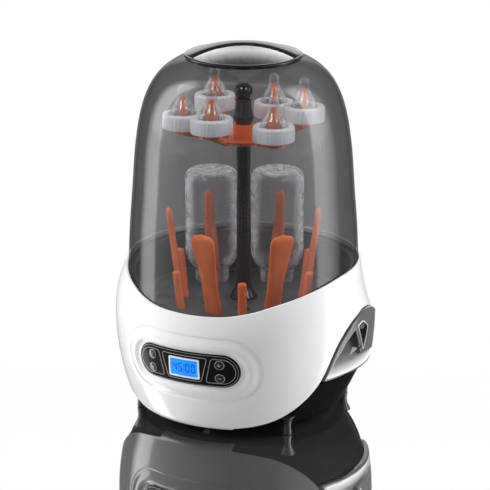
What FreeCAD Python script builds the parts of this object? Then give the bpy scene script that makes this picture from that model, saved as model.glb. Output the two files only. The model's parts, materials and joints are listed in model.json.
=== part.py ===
import FreeCAD, Part
import math
import os

from FreeCAD import Vector

# Countertop steam sterilizer for baby bottles. Millimetres, +Z up, front towards -Y.
# The origin is on the floor at the centre of the body.

# Body
body_radius = 136.5
body_bottom_z = 8.0
body_flare = 21.0
body_flare_z = 100.0
bottom_round = 8.0
shoulder_width = 12.0
shoulder_height = 50.0
wall = 3.0
rim_front_z = 130.8
rim_side_z = 159.7
rim_rear_z = 160.5

# Lid
lid_foot_radius = 121.0
lid_foot_z = 120.0
lid_wall = 2.2
lid_edge_drop = 4.5
lid_opening_radius = 58.0
handle_top_z = 387.0
handle_waist = 8.0
handle_flare = 23.0
handle_thickness = 4.0
handle_turn = 27.0
cup_floor_z = 350.5
cup_floor_radius = 33.0
cup_wall = 2.0

# Chamber deck and heating
deck_radius = 121.0
deck_drop = 6.3
bowl_radius = 112.0
deck_wall = 2.5
deck_floor_z = 104.0
plate_radius = 50.0

# Rack, column and accessory tray
station_count = 6
station_turn = -4.0
rack_z = 111.0
rack_thickness = 3.0
rack_radius = 104.0
broad_foot_radius = 60.0
broad_lean = 12.0
tall_foot_radius = 66.0
tall_lean = 7.0
peg_foot_radius = 74.0
bottle_ring_radius = 70.0
bottle_radius = 28.5
bottle_height = 122.0
bottle_wall = 2.0
tray_z = 283.0
tray_ring_radius = 62.0
collar_radius = 21.5
collar_height = 15.0
collar_step = 8.0
column_radius = 7.2

# Control panel
panel_z = 78.5
panel_half_length = 57.0
panel_half_height = 17.5
window_half_width = 17.5
window_half_height = 11.0
button_radius = 5.2
button_x = 38.0
button_z_offset = 7.2
button_travel = 1.0
board_y = -112.0

# Fan, filter and feet
fan_x = 0.0
fan_y = 58.0
fan_z = 30.0
fan_radius = 36.0
fan_height = 26.0
filter_x = -18.0
filter_half_width = 30.0
filter_z = 52.0
filter_half_height = 15.0
inlet_x = 38.0
inlet_z = 40.0
foot_x = 85.0
foot_y = 69.0
fit = 0.3

UP = Vector(0, 0, 1)
ORIGIN = Vector(0, 0, 0)


def polar(radius, angle, z=0.0):
    """A point at an angle counted from the front towards +X."""
    a = math.radians(angle)
    return Vector(radius * math.sin(a), -radius * math.cos(a), z)


def station_angles():
    return [station_turn + 360.0 / station_count * i for i in range(station_count)]


def at_angle(shape, angle):
    """A copy of a shape built at the front, turned about the Z axis."""
    turned = shape.copy()
    turned.rotate(ORIGIN, UP, angle)
    return turned


def disc(radius, z_low, z_high):
    return Part.makeCylinder(radius, z_high - z_low, Vector(0, 0, z_low))


def ring(outer, inner, z_low, z_high):
    return disc(outer, z_low, z_high).cut(disc(inner, z_low - 1, z_high + 1))


def block(x0, x1, y0, y1, z0, z1):
    return Part.makeBox(x1 - x0, y1 - y0, z1 - z0, Vector(x0, y0, z0))


def rod(start, end, radius):
    return Part.makeCylinder(radius, (end - start).Length, start, end - start)


def fuse_all(shapes):
    return shapes[0].multiFuse(shapes[1:]).removeSplitter()


def revolve_edges(edges):
    face = Part.Face(Part.Wire(edges))
    return face.revolve(ORIGIN, UP, 360)


def revolve_points(points):
    """Solid of revolution from a closed outline of (radius, z) corners."""
    corners = [Vector(r, 0, z) for r, z in points]
    face = Part.Face(Part.makePolygon(corners + corners[:1]))
    return face.revolve(ORIGIN, UP, 360)


def spline(points):
    curve = Part.BSplineCurve()
    curve.interpolate(points)
    return curve.toShape()


# ---- Body surface ------------------------------------------------------------

def rim_points(drop):
    """Side view of the sloping rim: low at the front, a quick rise, then nearly level."""
    rise = rim_side_z - rim_front_z
    shape = [
        (-150.0, rim_front_z - 1.3),
        (-121.0, rim_front_z),
        (-105.0, rim_front_z + 0.19 * rise),
        (-85.0, rim_front_z + 0.47 * rise),
        (-41.0, rim_front_z + 0.845 * rise),
        (0.0, rim_side_z),
        (121.0, rim_rear_z),
        (150.0, rim_rear_z + 1.0),
    ]
    return [Vector(-200, y, z - drop) for y, z in shape]


def above_rim(drop):
    """Everything above the rim surface, lowered by drop."""
    points = rim_points(drop)
    top = 420.0
    front, rear = points[0], points[-1]
    edges = [
        spline(points),
        Part.makeLine(rear, Vector(-200, rear.y, top)),
        Part.makeLine(Vector(-200, rear.y, top), Vector(-200, front.y, top)),
        Part.makeLine(Vector(-200, front.y, top), front),
    ]
    return Part.Face(Part.Wire(edges)).extrude(Vector(400, 0, 0))


def rim_height(angle):
    """Rim height at an angle from the front, used to shape the shoulder below it."""
    y = -lid_foot_radius * math.cos(math.radians(angle))
    front_part = max(0.0, -y / lid_foot_radius)
    rear_part = max(0.0, y / lid_foot_radius)
    fall = (rim_side_z - rim_front_z) * front_part ** 3
    return rim_side_z - fall + (rim_rear_z - rim_side_z) * rear_part


def rear_share(angle):
    """How far the shoulder has turned from the full front bulge into the straighter rear slope."""
    side = abs((angle + 180.0) % 360.0 - 180.0)
    share = min(max((side - 60.0) / 50.0, 0.0), 1.0)
    return share * share * (3 - 2 * share)


def outer_radius(z, angle):
    """Bulged body: flared wall, rounded foot and a shoulder that follows the rim."""
    radius = body_radius - body_flare * max(0.0, 1 - z / body_flare_z) ** 2
    if z < body_bottom_z + bottom_round:
        into_round = body_bottom_z + bottom_round - z
        radius -= bottom_round - math.sqrt(max(0.0, bottom_round ** 2 - into_round ** 2))
    below_rim = rim_height(angle) - z
    if below_rim < shoulder_height:
        radius -= shoulder_width * (1 - below_rim / shoulder_height) ** 2.4
    below_rim = max(below_rim, 0.0)
    slope_radius = body_radius - shoulder_width + 0.09 * below_rim + 0.0022 * below_rim ** 2
    return radius - rear_share(angle) * max(0.0, radius - slope_radius)


def grip_swell(angle):
    """How far the side grips stand proud, fading out towards the front."""
    side = abs((angle + 180.0) % 360.0 - 180.0)
    if side < 62.0 or side > 158.0:
        return 0.0
    return 4.2 * math.sin(math.radians((side - 62.0) / 96.0 * 180.0)) ** 2


made_bodies = {}


def body_solid(offset, swell=False):
    """The body's outer form grown or shrunk by offset, built once for each offset."""
    if (offset, swell) not in made_bodies:
        made_bodies[(offset, swell)] = loft_body(offset, swell)
    return made_bodies[(offset, swell)].copy()


def loft_body(offset, swell):
    """A closed loft through sections of the body at rising heights."""
    heights = [8.0, 9.0, 11.5, 16.0, 28.0, 45.0, 65.0, 85.0, 105.0, 120.0, 135.0, 150.0, 165.0, 180.0]
    wires = []
    for z in heights:
        points = []
        for step in range(36):
            angle = step * 10.0
            radius = outer_radius(z, angle) + offset
            if swell:
                radius += grip_swell(angle)
            points.append(polar(radius, angle, z))
        curve = Part.BSplineCurve()
        curve.interpolate(points, PeriodicFlag=True)
        wires.append(Part.Wire(curve.toShape()))
    return Part.makeLoft(wires, True, False)


def arch_prism(x_low, x_high, margin=0.0, floor=0.0):
    """Side arch through the white shell, seen along X, down to floor."""
    peak = Vector(0, 12, 118 + margin)
    rise = [
        Vector(0, -109 - margin, 12),
        Vector(0, -86 - margin, 24),
        Vector(0, -62 - margin, 52),
        Vector(0, -43 - margin, 92),
        Vector(0, -20 - margin * 0.7, 111 + margin * 0.7),
        peak,
    ]
    fall = [Vector(0, 24 - p.y, p.z) for p in reversed(rise[:-1])]
    top = spline(rise + fall)
    first, last = rise[0], fall[-1]
    bottom_z = min(floor, first.z - 12)
    edges = [
        top,
        Part.makeLine(last, Vector(0, last.y, bottom_z)),
        Part.makeLine(Vector(0, last.y, bottom_z), Vector(0, first.y, bottom_z)),
        Part.makeLine(Vector(0, first.y, bottom_z), first),
    ]
    prism = Part.Face(Part.Wire(edges)).extrude(Vector(x_high - x_low, 0, 0))
    prism.translate(Vector(x_low, 0, 0))
    if floor > 0:
        prism = prism.cut(block(x_low - 1, x_high + 1, -200, 200, -50, floor))
    return prism


def stadium(half_length, half_height, z, y_low, y_high):
    """Oblong prism along Y with round ends."""
    straight = half_length - half_height
    bar = block(-straight, straight, y_low, y_high, z - half_height, z + half_height)
    ends = [
        Part.makeCylinder(half_height, y_high - y_low, Vector(x, y_low, z), Vector(0, 1, 0))
        for x in (-straight, straight)
    ]
    return fuse_all([bar] + ends)


# ---- Base --------------------------------------------------------------------

def base_shell():
    shell = body_solid(0).cut(body_solid(-wall))
    shell = shell.cut(block(-200, 200, -200, 200, 0, body_bottom_z + 0.01))
    shell = shell.cut(above_rim(0))
    shell = shell.cut(dome_solid(-fit))
    for x_low, x_high in ((-200, -40), (40, 200)):
        shell = shell.cut(arch_prism(x_low, x_high))
    shell = shell.cut(stadium(panel_half_length + fit, panel_half_height + fit, panel_z, -160, -90))
    shell = shell.cut(filter_prism(fit))
    return shell.cut(inlet_prism(fit))


def side_prism(side, corners, round_radius):
    """Prism along X through one side of the body, from its (y, z) corners."""
    points = [Vector(0, y, z) for y, z in corners]
    face = Part.Face(Part.makePolygon(points + points[:1]))
    prism = face.extrude(Vector(body_radius, 0, 0))
    prism = prism.makeFillet(round_radius, [e for e in prism.Edges if e.Length > body_radius - 1])
    prism.translate(Vector(foot_x - 10 if side > 0 else 10 - foot_x - body_radius, 0, 0))
    return prism


def side_grip(side):
    """Leaf-shaped insert with a tapering scoop and a three-cornered finger hole."""
    x_low, x_high = (60, 200) if side > 0 else (-200, -60)
    skin = body_solid(0, swell=True).cut(body_solid(-7))
    grip = skin.common(arch_prism(x_low, x_high, margin=-fit, floor=55.0))
    hollow = side_prism(side, [(-13.5, 104), (-1, 74), (30, 69), (66, 62), (62, 59), (-52, 59)], 1.2)
    hollow = hollow.common(arch_prism(x_low, x_high, margin=-5, floor=58.5))
    scoop = body_solid(6).cut(body_solid(-3.5)).common(hollow)
    hole = side_prism(side, [(-9.5, 105.5), (2, 108), (12, 100), (4.5, 78), (1.5, 78)], 1.2)
    return grip.cut(scoop).cut(hole)


def chassis():
    """Black under-body: a flat pan whose wall leans out to meet the shell."""
    outline = [(0, 8), (98, 8), (106, 11), (115, 28), (126.5, 52), (126.5, 54), (123, 54)]
    outline += [(112, 29), (103.5, 13.5), (97, 11), (0, 11)]
    pan = revolve_points(outline)
    cuts = [
        Part.makeCylinder(2.2, 12, Vector(x, y, 4))
        for x, y in screw_places()
    ]
    cuts += [Part.makeCylinder(3.0, 10, Vector(fan_x + x, fan_y + y, 4)) for x, y in inlet_grid()]
    cuts += [filter_prism(1.0), inlet_prism(1.0)]
    return fuse_all([pan] + [boss(x, y) for x, y in screw_places()]).cut(Part.makeCompound(cuts))


def boss(x, y):
    return Part.makeCylinder(5.0, 12.0, Vector(x, y, 11)).cut(Part.makeCylinder(1.6, 14, Vector(x, y, 10)))


def screw_places():
    return [(math.sin(a) * 84, -math.cos(a) * 84) for a in [math.radians(60 * i) for i in range(6)]]


def inlet_grid():
    """Hexagon of air holes under the fan."""
    places = [(0.0, 0.0)]
    for radius, count in ((9.0, 6), (18.0, 12)):
        places += [
            (radius * math.cos(2 * math.pi * i / count), radius * math.sin(2 * math.pi * i / count))
            for i in range(count)
        ]
    return places


def chassis_screws():
    screws = []
    for x, y in screw_places():
        head = Part.makeCylinder(3.6, 2.0, Vector(x, y, 6))
        shank = Part.makeCylinder(1.5, 14.0, Vector(x, y, 8))
        screws.append(head.fuse(shank).removeSplitter())
    return Part.makeCompound(screws)


def feet():
    under = revolve_points([(0, 8), (98, 8), (106, 11), (115, 28), (126.5, 52), (126.5, 60), (0, 60)])
    solids = []
    for x in (-foot_x, foot_x):
        for y in (-foot_y, foot_y):
            stem = revolve_points([(0, 0), (4.6, 0), (5.4, 0.8), (4.4, 9), (6.0, 14), (9.5, 24), (0, 24)])
            stem.translate(Vector(x, y, 0))
            solids.append(stem.cut(under))
    return Part.makeCompound(solids)


# ---- Control panel -----------------------------------------------------------

def button_places():
    return {
        "button_power": (-button_x, panel_z + button_z_offset),
        "button_mode": (-button_x, panel_z - button_z_offset),
        "button_plus": (button_x, panel_z + button_z_offset),
        "button_minus": (button_x, panel_z - button_z_offset),
    }


def along_y(radius, x, z, y_low, y_high):
    return Part.makeCylinder(radius, y_high - y_low, Vector(x, y_low, z), Vector(0, 1, 0))


def panel_bezel():
    plate = body_solid(0.8).cut(body_solid(-2.2))
    plate = plate.common(stadium(panel_half_length, panel_half_height, panel_z, -160, -90))
    opening = block(-window_half_width, window_half_width, -160, -100,
                    panel_z - window_half_height, panel_z + window_half_height)
    plate = plate.cut(opening)
    for x, z in button_places().values():
        plate = plate.cut(along_y(button_radius + fit, x, z, -160, -100))
    return plate


def display_window():
    pane = body_solid(0.4).cut(body_solid(-1.4))
    inset = 0.15
    return pane.common(block(-window_half_width + inset, window_half_width - inset, -160, -100,
                             panel_z - window_half_height + inset, panel_z + window_half_height - inset))


def display_module():
    glass = block(-19, 19, -126, -121, panel_z - 12.5, panel_z + 12.5)
    frame = block(-21, 21, -121, -117, panel_z - 14, panel_z + 14)
    return glass.fuse(frame).removeSplitter()


def button_cap(x, z):
    cap = body_solid(1.6).cut(body_solid(-2.6)).common(along_y(button_radius, x, z, -160, -100))
    stem_end = board_y - 3.6 - button_travel - 0.1
    stem = along_y(2.2, x, z, -130.0, stem_end).common(body_solid(-2.0))
    flange = body_solid(-2.4).cut(body_solid(-3.6)).common(along_y(6.6, x, z, -160, -100))
    return fuse_all([cap, flange, stem])


def control_board():
    board = block(-50, 50, board_y, board_y + 1.6, panel_z - 16, panel_z + 16)
    chip = block(-8, 8, board_y + 1.6, board_y + 3.4, panel_z - 6, panel_z + 6)
    header = block(18, 38, board_y + 1.6, board_y + 7.6, panel_z - 14, panel_z - 9)
    posts = block(-19, 19, -117, board_y, panel_z - 1.5, panel_z + 1.5)
    return fuse_all([board, chip, header, posts])


def tact_switches():
    switches = []
    for x, z in button_places().values():
        case = block(x - 3, x + 3, board_y - 2.6, board_y, z - 3, z + 3)
        plunger = along_y(1.6, x, z, board_y - 3.6, board_y - 2.6)
        switches.append(case.fuse(plunger).removeSplitter())
    return Part.makeCompound(switches)


# ---- Deck and heating --------------------------------------------------------

def vent_slots():
    """Warm-air slots at the rear of the deck floor."""
    slots = []
    for i in range(-2, 3):
        slots.append(block(i * 9 - 2.5, i * 9 + 2.5, 66, 92, deck_floor_z - 5, deck_floor_z + 8))
    return Part.makeCompound(slots)


def chamber_deck():
    flange = ring(deck_radius, bowl_radius, 90, 200).cut(above_rim(deck_drop))
    flange = flange.common(above_rim(deck_drop + deck_wall))
    bowl = ring(bowl_radius + deck_wall, bowl_radius, deck_floor_z - deck_wall, 200)
    bowl = bowl.cut(above_rim(deck_drop))
    floor = ring(bowl_radius + deck_wall, plate_radius, deck_floor_z - deck_wall, deck_floor_z)
    lip = ring(plate_radius + deck_wall, plate_radius, deck_floor_z - 8, deck_floor_z)
    return fuse_all([flange, bowl, floor, lip]).cut(vent_slots())


def heating_plate():
    """Shallow steel dish that closes the hole in the deck and holds the water."""
    r = plate_radius - 0.2
    outline = [(0, 98), (r - 8, 98), (r, 102), (r, deck_floor_z), (r + 5, deck_floor_z)]
    outline += [(r + 5, deck_floor_z + 1.2), (r - 1.2, deck_floor_z + 1.2), (r - 1.2, 102.6)]
    outline += [(r - 8.4, 99.2), (0, 99.2)]
    return revolve_points(outline)


def heating_element():
    tube = Part.makeTorus(32, 4.0, Vector(0, 0, 93.9), UP, 0, 360, 310)
    tube.rotate(ORIGIN, UP, -65)
    ends = []
    for angle in (-65.0, 245.0):
        a = math.radians(angle)
        top = Vector(32 * math.cos(a), 32 * math.sin(a), 93.9)
        ends.append(Part.makeCylinder(2.2, 16, top - Vector(0, 0, 16)))
    return fuse_all([tube] + ends)


def thermostat():
    can = Part.makeCylinder(9, 8, Vector(0, 0, 89.9))
    flange = Part.makeCylinder(11, 1.2, Vector(0, 0, 96.7))
    tabs = [block(x - 0.4, x + 0.4, -3, 3, 80, 90) for x in (-5, 5)]
    return fuse_all([can, flange] + tabs)


def thermal_fuse():
    body = rod(Vector(-10, -18, 94.5), Vector(10, -18, 94.5), 3.0)
    leads = rod(Vector(-20, -18, 94.5), Vector(20, -18, 94.5), 0.8)
    return body.fuse(leads).removeSplitter()


def temperature_sensor():
    tip = Part.makeCylinder(3, 7, Vector(0, 18, 90.9))
    nut = Part.makeCylinder(5, 2.5, Vector(0, 18, 88.4))
    return tip.fuse(nut).removeSplitter()


# ---- Drying fan --------------------------------------------------------------

def at_fan(shape):
    shape.translate(Vector(fan_x, fan_y, 0))
    return shape


def fan_housing():
    outer = disc(fan_radius, fan_z, fan_z + fan_height)
    outlet = block(-16, 16, 10, fan_radius + 14, fan_z, fan_z + fan_height)
    case = outer.fuse(outlet).removeSplitter()
    hollow = disc(fan_radius - 2, fan_z + 2, fan_z + fan_height - 2)
    passage = block(-14, 14, 10, fan_radius + 12, fan_z + 2, fan_z + fan_height - 2)
    case = case.cut(hollow).cut(passage)
    case = case.cut(disc(20, fan_z - 1, fan_z + 3))
    case = case.cut(disc(3.2, fan_z + fan_height - 3, fan_z + fan_height + 1))
    case = case.cut(block(-12, 12, 32, 48, fan_z + fan_height - 3, fan_z + fan_height + 1))
    legs = [
        Part.makeCylinder(4, fan_z - 11, Vector(30 * sx, 18 * sy, 11))
        for sx in (-1, 1)
        for sy in (-1, 1)
    ]
    return at_fan(fuse_all([case] + legs))


def fan_rotor():
    hub = disc(10, fan_z + 5, fan_z + fan_height - 6)
    back_plate = disc(29, fan_z + fan_height - 8, fan_z + fan_height - 6)
    shaft = disc(2.5, fan_z + 5, fan_z + fan_height + 6)
    blades = []
    for i in range(16):
        blade = block(19, 28, -0.7, 0.7, fan_z + 6, fan_z + fan_height - 7.5)
        blade.rotate(Vector(23, 0, 0), UP, 35)
        blade.rotate(ORIGIN, UP, 22.5 * i)
        blades.append(blade)
    return at_fan(fuse_all([hub, back_plate, shaft] + blades))


def fan_motor():
    top = fan_z + fan_height
    can = disc(14, top + 0.1, top + 18)
    return at_fan(can.cut(disc(2.56, top, top + 7)))


def air_heater():
    """Finned warm-air heater standing over the fan outlet."""
    z = fan_z + fan_height
    frame = block(-15, 15, 30, 50, z + 0.1, z + 14).cut(block(-12, 12, 33, 47, z, z + 15))
    fins = [block(x - 0.6, x + 0.6, 32, 48, z + 2, z + 12) for x in range(-9, 10, 3)]
    return at_fan(fuse_all([frame] + fins))


def air_duct():
    """Short chimney from the air heater to the slots in the deck."""
    z_low = fan_z + fan_height + 14.1
    z_high = deck_floor_z - deck_wall - 0.1
    y_shift = -8.0
    lower = Part.makePolygon([Vector(x, y, z_low) for x, y in ((-16, 29), (16, 29), (16, 51), (-16, 51), (-16, 29))])
    upper = Part.makePolygon(
        [Vector(x, y + y_shift, z_high) for x, y in ((-24, 14), (24, 14), (24, 44), (-24, 44), (-24, 14))]
    )
    inner_low = lower.scaled(0.88, Vector(0, 40, z_low))
    inner_high = upper.scaled(0.92, Vector(0, 29 + y_shift, z_high))
    outer = Part.makeLoft([lower, upper], True, True)
    return at_fan(outer.cut(Part.makeLoft([inner_low, inner_high], True, True)))


def filter_prism(margin):
    reach_x = filter_half_width + margin
    reach_z = filter_half_height + margin
    return block(filter_x - reach_x, filter_x + reach_x, 100, 160, filter_z - reach_z, filter_z + reach_z)


def filter_cover():
    """Louvred cover in the rear wall that pulls straight out."""
    cover = body_solid(0).cut(body_solid(-wall)).common(filter_prism(0))
    for i in range(-2, 3):
        z = filter_z + i * 5
        cover = cover.cut(block(filter_x - 22, filter_x + 22, 100, 160, z - 1, z + 1))
    notch_centre = Vector(filter_x, 100, filter_z - filter_half_height)
    return cover.cut(Part.makeCylinder(5, 60, notch_centre, Vector(0, 1, 0)))


def air_filter():
    frame = block(filter_x - 27, filter_x + 27, 110, 117, filter_z - 13, filter_z + 13)
    return frame.cut(block(filter_x - 24, filter_x + 24, 109, 111, filter_z - 10, filter_z + 10))


# ---- Power -------------------------------------------------------------------

def inlet_prism(margin):
    x_low, x_high = inlet_x - 13 - margin, inlet_x + 13 + margin
    return block(x_low, x_high, 90, 160, inlet_z - 9 - margin, inlet_z + 9 + margin)


def power_inlet():
    """Appliance socket for the mains lead, set in the rear wall."""
    body = block(inlet_x - 13, inlet_x + 13, 96, 132, inlet_z - 9, inlet_z + 9).common(body_solid(-0.3))
    socket = block(inlet_x - 10, inlet_x + 10, 104, 160, inlet_z - 6, inlet_z + 6)
    pins = [rod(Vector(inlet_x + x, 100, inlet_z), Vector(inlet_x + x, 116, inlet_z), 1.6) for x in (-5, 5)]
    return fuse_all([body.cut(socket)] + pins)


def power_board():
    board = block(-86, -26, -35, 30, 20, 21.6)
    parts = [
        block(-80, -58, -26, -6, 21.6, 40),
        block(-50, -34, -30, -16, 21.6, 36),
        Part.makeCylinder(8, 22, Vector(-44, 8, 21.6)),
        block(-80, -62, 4, 24, 21.6, 33),
    ]
    legs = [Part.makeCylinder(3, 9, Vector(x, y, 11)) for x in (-82, -30) for y in (-31, 26)]
    return fuse_all([board] + parts + legs)


def wiring_loom():
    """Wire bundles from the power board to the panel, the heater and the inlet."""
    runs = [
        [Vector(-60, -42, 25), Vector(-52, -70, 40), Vector(-10, -92, 64), Vector(28, -100, 67)],
        [Vector(-50, 32, 25), Vector(-58, 30, 55), Vector(-34, 4, 66), Vector(-12, -28, 72)],
        [Vector(-60, 32, 24), Vector(-50, 80, 18), Vector(20, 94, 20), Vector(38, 93, 34)],
    ]
    bundles = []
    for points in runs:
        path = Part.Wire(spline(points))
        tangent = path.Edges[0].tangentAt(path.Edges[0].FirstParameter)
        section = Part.Wire(Part.makeCircle(2.2, points[0], tangent))
        bundles.append(path.makePipeShell([section], True, False))
    return Part.makeCompound(bundles)


# ---- Rack, bottles and pegs --------------------------------------------------

def bottle_rack():
    """Dark perforated plate standing on short ribs over the water."""
    plate = disc(rack_radius, rack_z, rack_z + rack_thickness)
    rim = ring(rack_radius, rack_radius - 3, rack_z, rack_z + 8)
    spokes = []
    for angle in station_angles():
        rib = block(-1.5, 1.5, -98, -62, deck_floor_z + 0.1, rack_z)
        spokes.append(at_angle(rib, angle + 30))
    cuts = [disc(column_radius + 0.1, rack_z - 1, rack_z + 5)]
    for angle in station_angles():
        for radius, turn, hole in ((84, 0, 7), (40, 30, 8), (88, 20, 5), (88, -20, 5)):
            cuts.append(Part.makeCylinder(hole, 8, polar(radius, angle + turn, rack_z - 2)))
    return fuse_all([plate, rim] + spokes).cut(Part.makeCompound(cuts))


def leaning(shape, angle, lean, foot):
    """Tip a shape outwards about its foot, then turn it to its station."""
    shape = shape.copy()
    shape.rotate(Vector(0, -foot, rack_z + rack_thickness), Vector(1, 0, 0), lean)
    return at_angle(shape, angle)


def blade(width_low, width_high, height, thickness, foot):
    """Upright tongue with a rounded tip, wider or narrower at the top."""
    z = rack_z + rack_thickness
    lo, hi = width_low / 2, width_high / 2
    tip = Part.Arc(Vector(hi, -foot, z + height - hi), Vector(0, -foot, z + height), Vector(-hi, -foot, z + height - hi))
    edges = [
        Part.makeLine(Vector(-lo, -foot, z), Vector(lo, -foot, z)),
        Part.makeLine(Vector(lo, -foot, z), Vector(hi, -foot, z + height - hi)),
        tip.toShape(),
        Part.makeLine(Vector(-hi, -foot, z + height - hi), Vector(-lo, -foot, z)),
    ]
    body = Part.Face(Part.Wire(edges)).extrude(Vector(0, thickness, 0))
    body.translate(Vector(0, -thickness / 2, 0))
    return body


def fin(height, depth, thickness, foot):
    """Triangular stiffener on the inner side of a prong."""
    z = rack_z + rack_thickness
    corners = [
        Vector(-thickness / 2, -foot, z),
        Vector(-thickness / 2, -foot + depth, z),
        Vector(-thickness / 2, -foot + 2, z + height),
        Vector(-thickness / 2, -foot, z + height),
    ]
    return Part.Face(Part.makePolygon(corners + corners[:1])).extrude(Vector(thickness, 0, 0))


def on_rack(shape):
    """Trim a leaning prong flush with the top of the rack plate."""
    z = rack_z + rack_thickness
    return shape.cut(block(-150, 150, -150, 150, z - 30, z))


def broad_prongs():
    solids = []
    for angle in station_angles()[:2]:
        prong = blade(17, 20, 84, 6, broad_foot_radius).fuse(fin(62, 14, 4, broad_foot_radius))
        solids.append(on_rack(leaning(prong.removeSplitter(), angle, broad_lean, broad_foot_radius)))
    return Part.makeCompound(solids)


def tall_prongs():
    solids = []
    for angle in station_angles()[2:]:
        prong = blade(17, 9, 100, 6, tall_foot_radius).fuse(fin(78, 9, 4, tall_foot_radius))
        solids.append(on_rack(leaning(prong.removeSplitter(), angle, tall_lean, tall_foot_radius)))
    return Part.makeCompound(solids)


def short_pegs():
    solids = []
    for angle in station_angles():
        peg = blade(9.5, 9, 42, 8, peg_foot_radius)
        solids.append(on_rack(leaning(peg, angle + 30, tall_lean, peg_foot_radius)))
    return Part.makeCompound(solids)


def bottle():
    """Clear bottle upside down: neck at the bottom, closed end at the top."""
    z = rack_z + rack_thickness + 0.2
    top = z + bottle_height
    r, t = bottle_radius, bottle_wall
    neck = 17.5
    outer = [(neck, z), (neck, z + 14), (r, z + 27), (r, top - 6), (r - 5, top)]
    inner = [(r - 6, top - t - 0.8), (r - t, top - 7), (r - t, z + 28), (neck - t, z + 15), (neck - t, z)]
    return revolve_points([*outer, (0, top - 3), (0, top - 3 - t), *inner])


def bottles():
    solids = []
    for angle in station_angles()[3:5]:
        glass = bottle()
        glass.translate(polar(bottle_ring_radius, angle))
        solids.append(glass)
    return Part.makeCompound(solids)


# ---- Column and accessory tray -------------------------------------------------

def centre_column():
    z = rack_z + rack_thickness + 0.1
    outline = [(0, z), (15, z), (14, z + 2), (column_radius, z + 17), (column_radius, tray_z - 0.1)]
    outline += [(5, tray_z - 0.1), (5, tray_z + 18), (0, tray_z + 18)]
    column = revolve_points(outline)
    pin = disc(column_radius - 0.2, rack_z, z + 1)
    return column.fuse(pin).removeSplitter()


def column_knob():
    z = tray_z + 18.1
    outline = [(0, z), (8.5, z), (11, z + 7), (9.5, z + 12), (8, z + 24), (9.5, z + 26), (0, z + 26)]
    skirt = revolve_points(outline)
    ball = Part.makeSphere(9.5, Vector(0, 0, z + 34)).cut(disc(20, z, z + 25.9))
    return skirt.fuse(ball).removeSplitter()


def seat_heights():
    """Collars sit alternately high and low around the tray."""
    return [tray_z + 14 + (collar_step if i % 2 == 0 else 0) for i in range(station_count)]


def accessory_tray():
    hub = ring(10, 5.1, tray_z, tray_z + 18)
    plate = revolve_points([(5.1, tray_z), (26, tray_z), (38, tray_z + 5), (38, tray_z + 7), (25, tray_z + 2.5), (5.1, tray_z + 2.5)])
    arms = []
    for angle, seat in zip(station_angles(), seat_heights()):
        low = Vector(0, -34, tray_z + 4)
        high = Vector(0, -tray_ring_radius, seat - 6)
        arm = rod(low, high, 3.0)
        centre = Vector(0, -tray_ring_radius, seat - 6.5)
        pad = Part.makeCylinder(8, 6.4, centre)
        bars = [
            block(-20.5, 20.5, -tray_ring_radius - 2, -tray_ring_radius + 2, seat - 2.6, seat - 0.1),
            block(-2, 2, -tray_ring_radius - 20.5, -tray_ring_radius + 20.5, seat - 2.6, seat - 0.1),
        ]
        arms.append(at_angle(fuse_all([arm, pad] + bars), angle))
    return fuse_all([hub, plate] + arms)


def tray_prongs():
    solids = []
    for angle, seat in zip(station_angles(), seat_heights()):
        z = seat - 0.1
        tongue = revolve_points([(0, z), (6.2, z), (6.0, z + 4), (4.6, z + 20), (2.5, z + 26), (0, z + 27)])
        tongue.translate(Vector(0, -tray_ring_radius, 0))
        solids.append(at_angle(tongue, angle))
    return Part.makeCompound(solids)


def collar(z):
    outer = ring(collar_radius, collar_radius - 2, z, z + collar_height)
    top = ring(collar_radius, 13.5, z + collar_height - 2, z + collar_height)
    return outer.fuse(top).removeSplitter()


def collars():
    solids = []
    for angle, seat in zip(station_angles(), seat_heights()):
        solids.append(at_angle(collar(seat).translated(Vector(0, -tray_ring_radius, 0)), angle))
    return Part.makeCompound(solids)


def teat(z):
    """Flanged silicone teat: broad shoulder, narrow tip, hollow."""
    outer = [(19.2, z), (19.2, z + 2), (13.2, z + 2), (12.4, z + 9), (7.0, z + 19), (5.0, z + 24), (5.0, z + 29), (3.0, z + 33)]
    inner = [(2.0, z + 31), (3.6, z + 28), (3.6, z + 23), (5.8, z + 18), (10.9, z + 8.6), (11.6, z)]
    return revolve_points(outer + [(0, z + 34), (0, z + 32)] + inner)


def teats():
    solids = []
    for angle, seat in zip(station_angles(), seat_heights()):
        flange_z = seat + collar_height - 4.1
        solids.append(at_angle(teat(flange_z).translated(Vector(0, -tray_ring_radius, 0)), angle))
    return Part.makeCompound(solids)


# ---- Lid ---------------------------------------------------------------------

def dome_profile(inset):
    """Upper outline of the lid from its foot to the crown."""
    heights = [(lid_foot_radius, lid_foot_z), (118.6, 185), (114.8, 235), (111.2, 280), (105.4, 315)]
    heights += [(96.7, 339.5), (83.6, 357.5), (63.1, 370.5), (34.0, 379.5), (0, 384)]
    points = []
    for r, z in heights:
        slope = max(0.0, (z - 280.0) / 104.0)
        points.append(Vector(max(0.0, r - inset * (1 - 0.5 * slope ** 2)), 0, z - inset * slope))
    points[-1] = Vector(0, 0, 384 - inset)
    return spline(points)


def dome_solid(inset):
    curve = dome_profile(inset)
    start = curve.Vertexes[0].Point
    end = curve.Vertexes[-1].Point
    base = Vector(0, 0, start.z)
    edges = [curve, Part.makeLine(end, base), Part.makeLine(base, start)]
    return revolve_edges(edges)


def lid_dome():
    shell = dome_solid(0).cut(dome_solid(lid_wall))
    shell = shell.cut(disc(200, lid_foot_z - 1, lid_foot_z + 0.5))
    shell = shell.common(above_rim(lid_edge_drop))
    return shell.cut(disc(lid_opening_radius, 360, 400))


def lid_seal():
    band = ring(lid_foot_radius - 0.2, lid_foot_radius - 5, 100, 200)
    band = band.common(above_rim(deck_drop - 0.1))
    return band.cut(above_rim(lid_edge_drop + 0.1))


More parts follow.
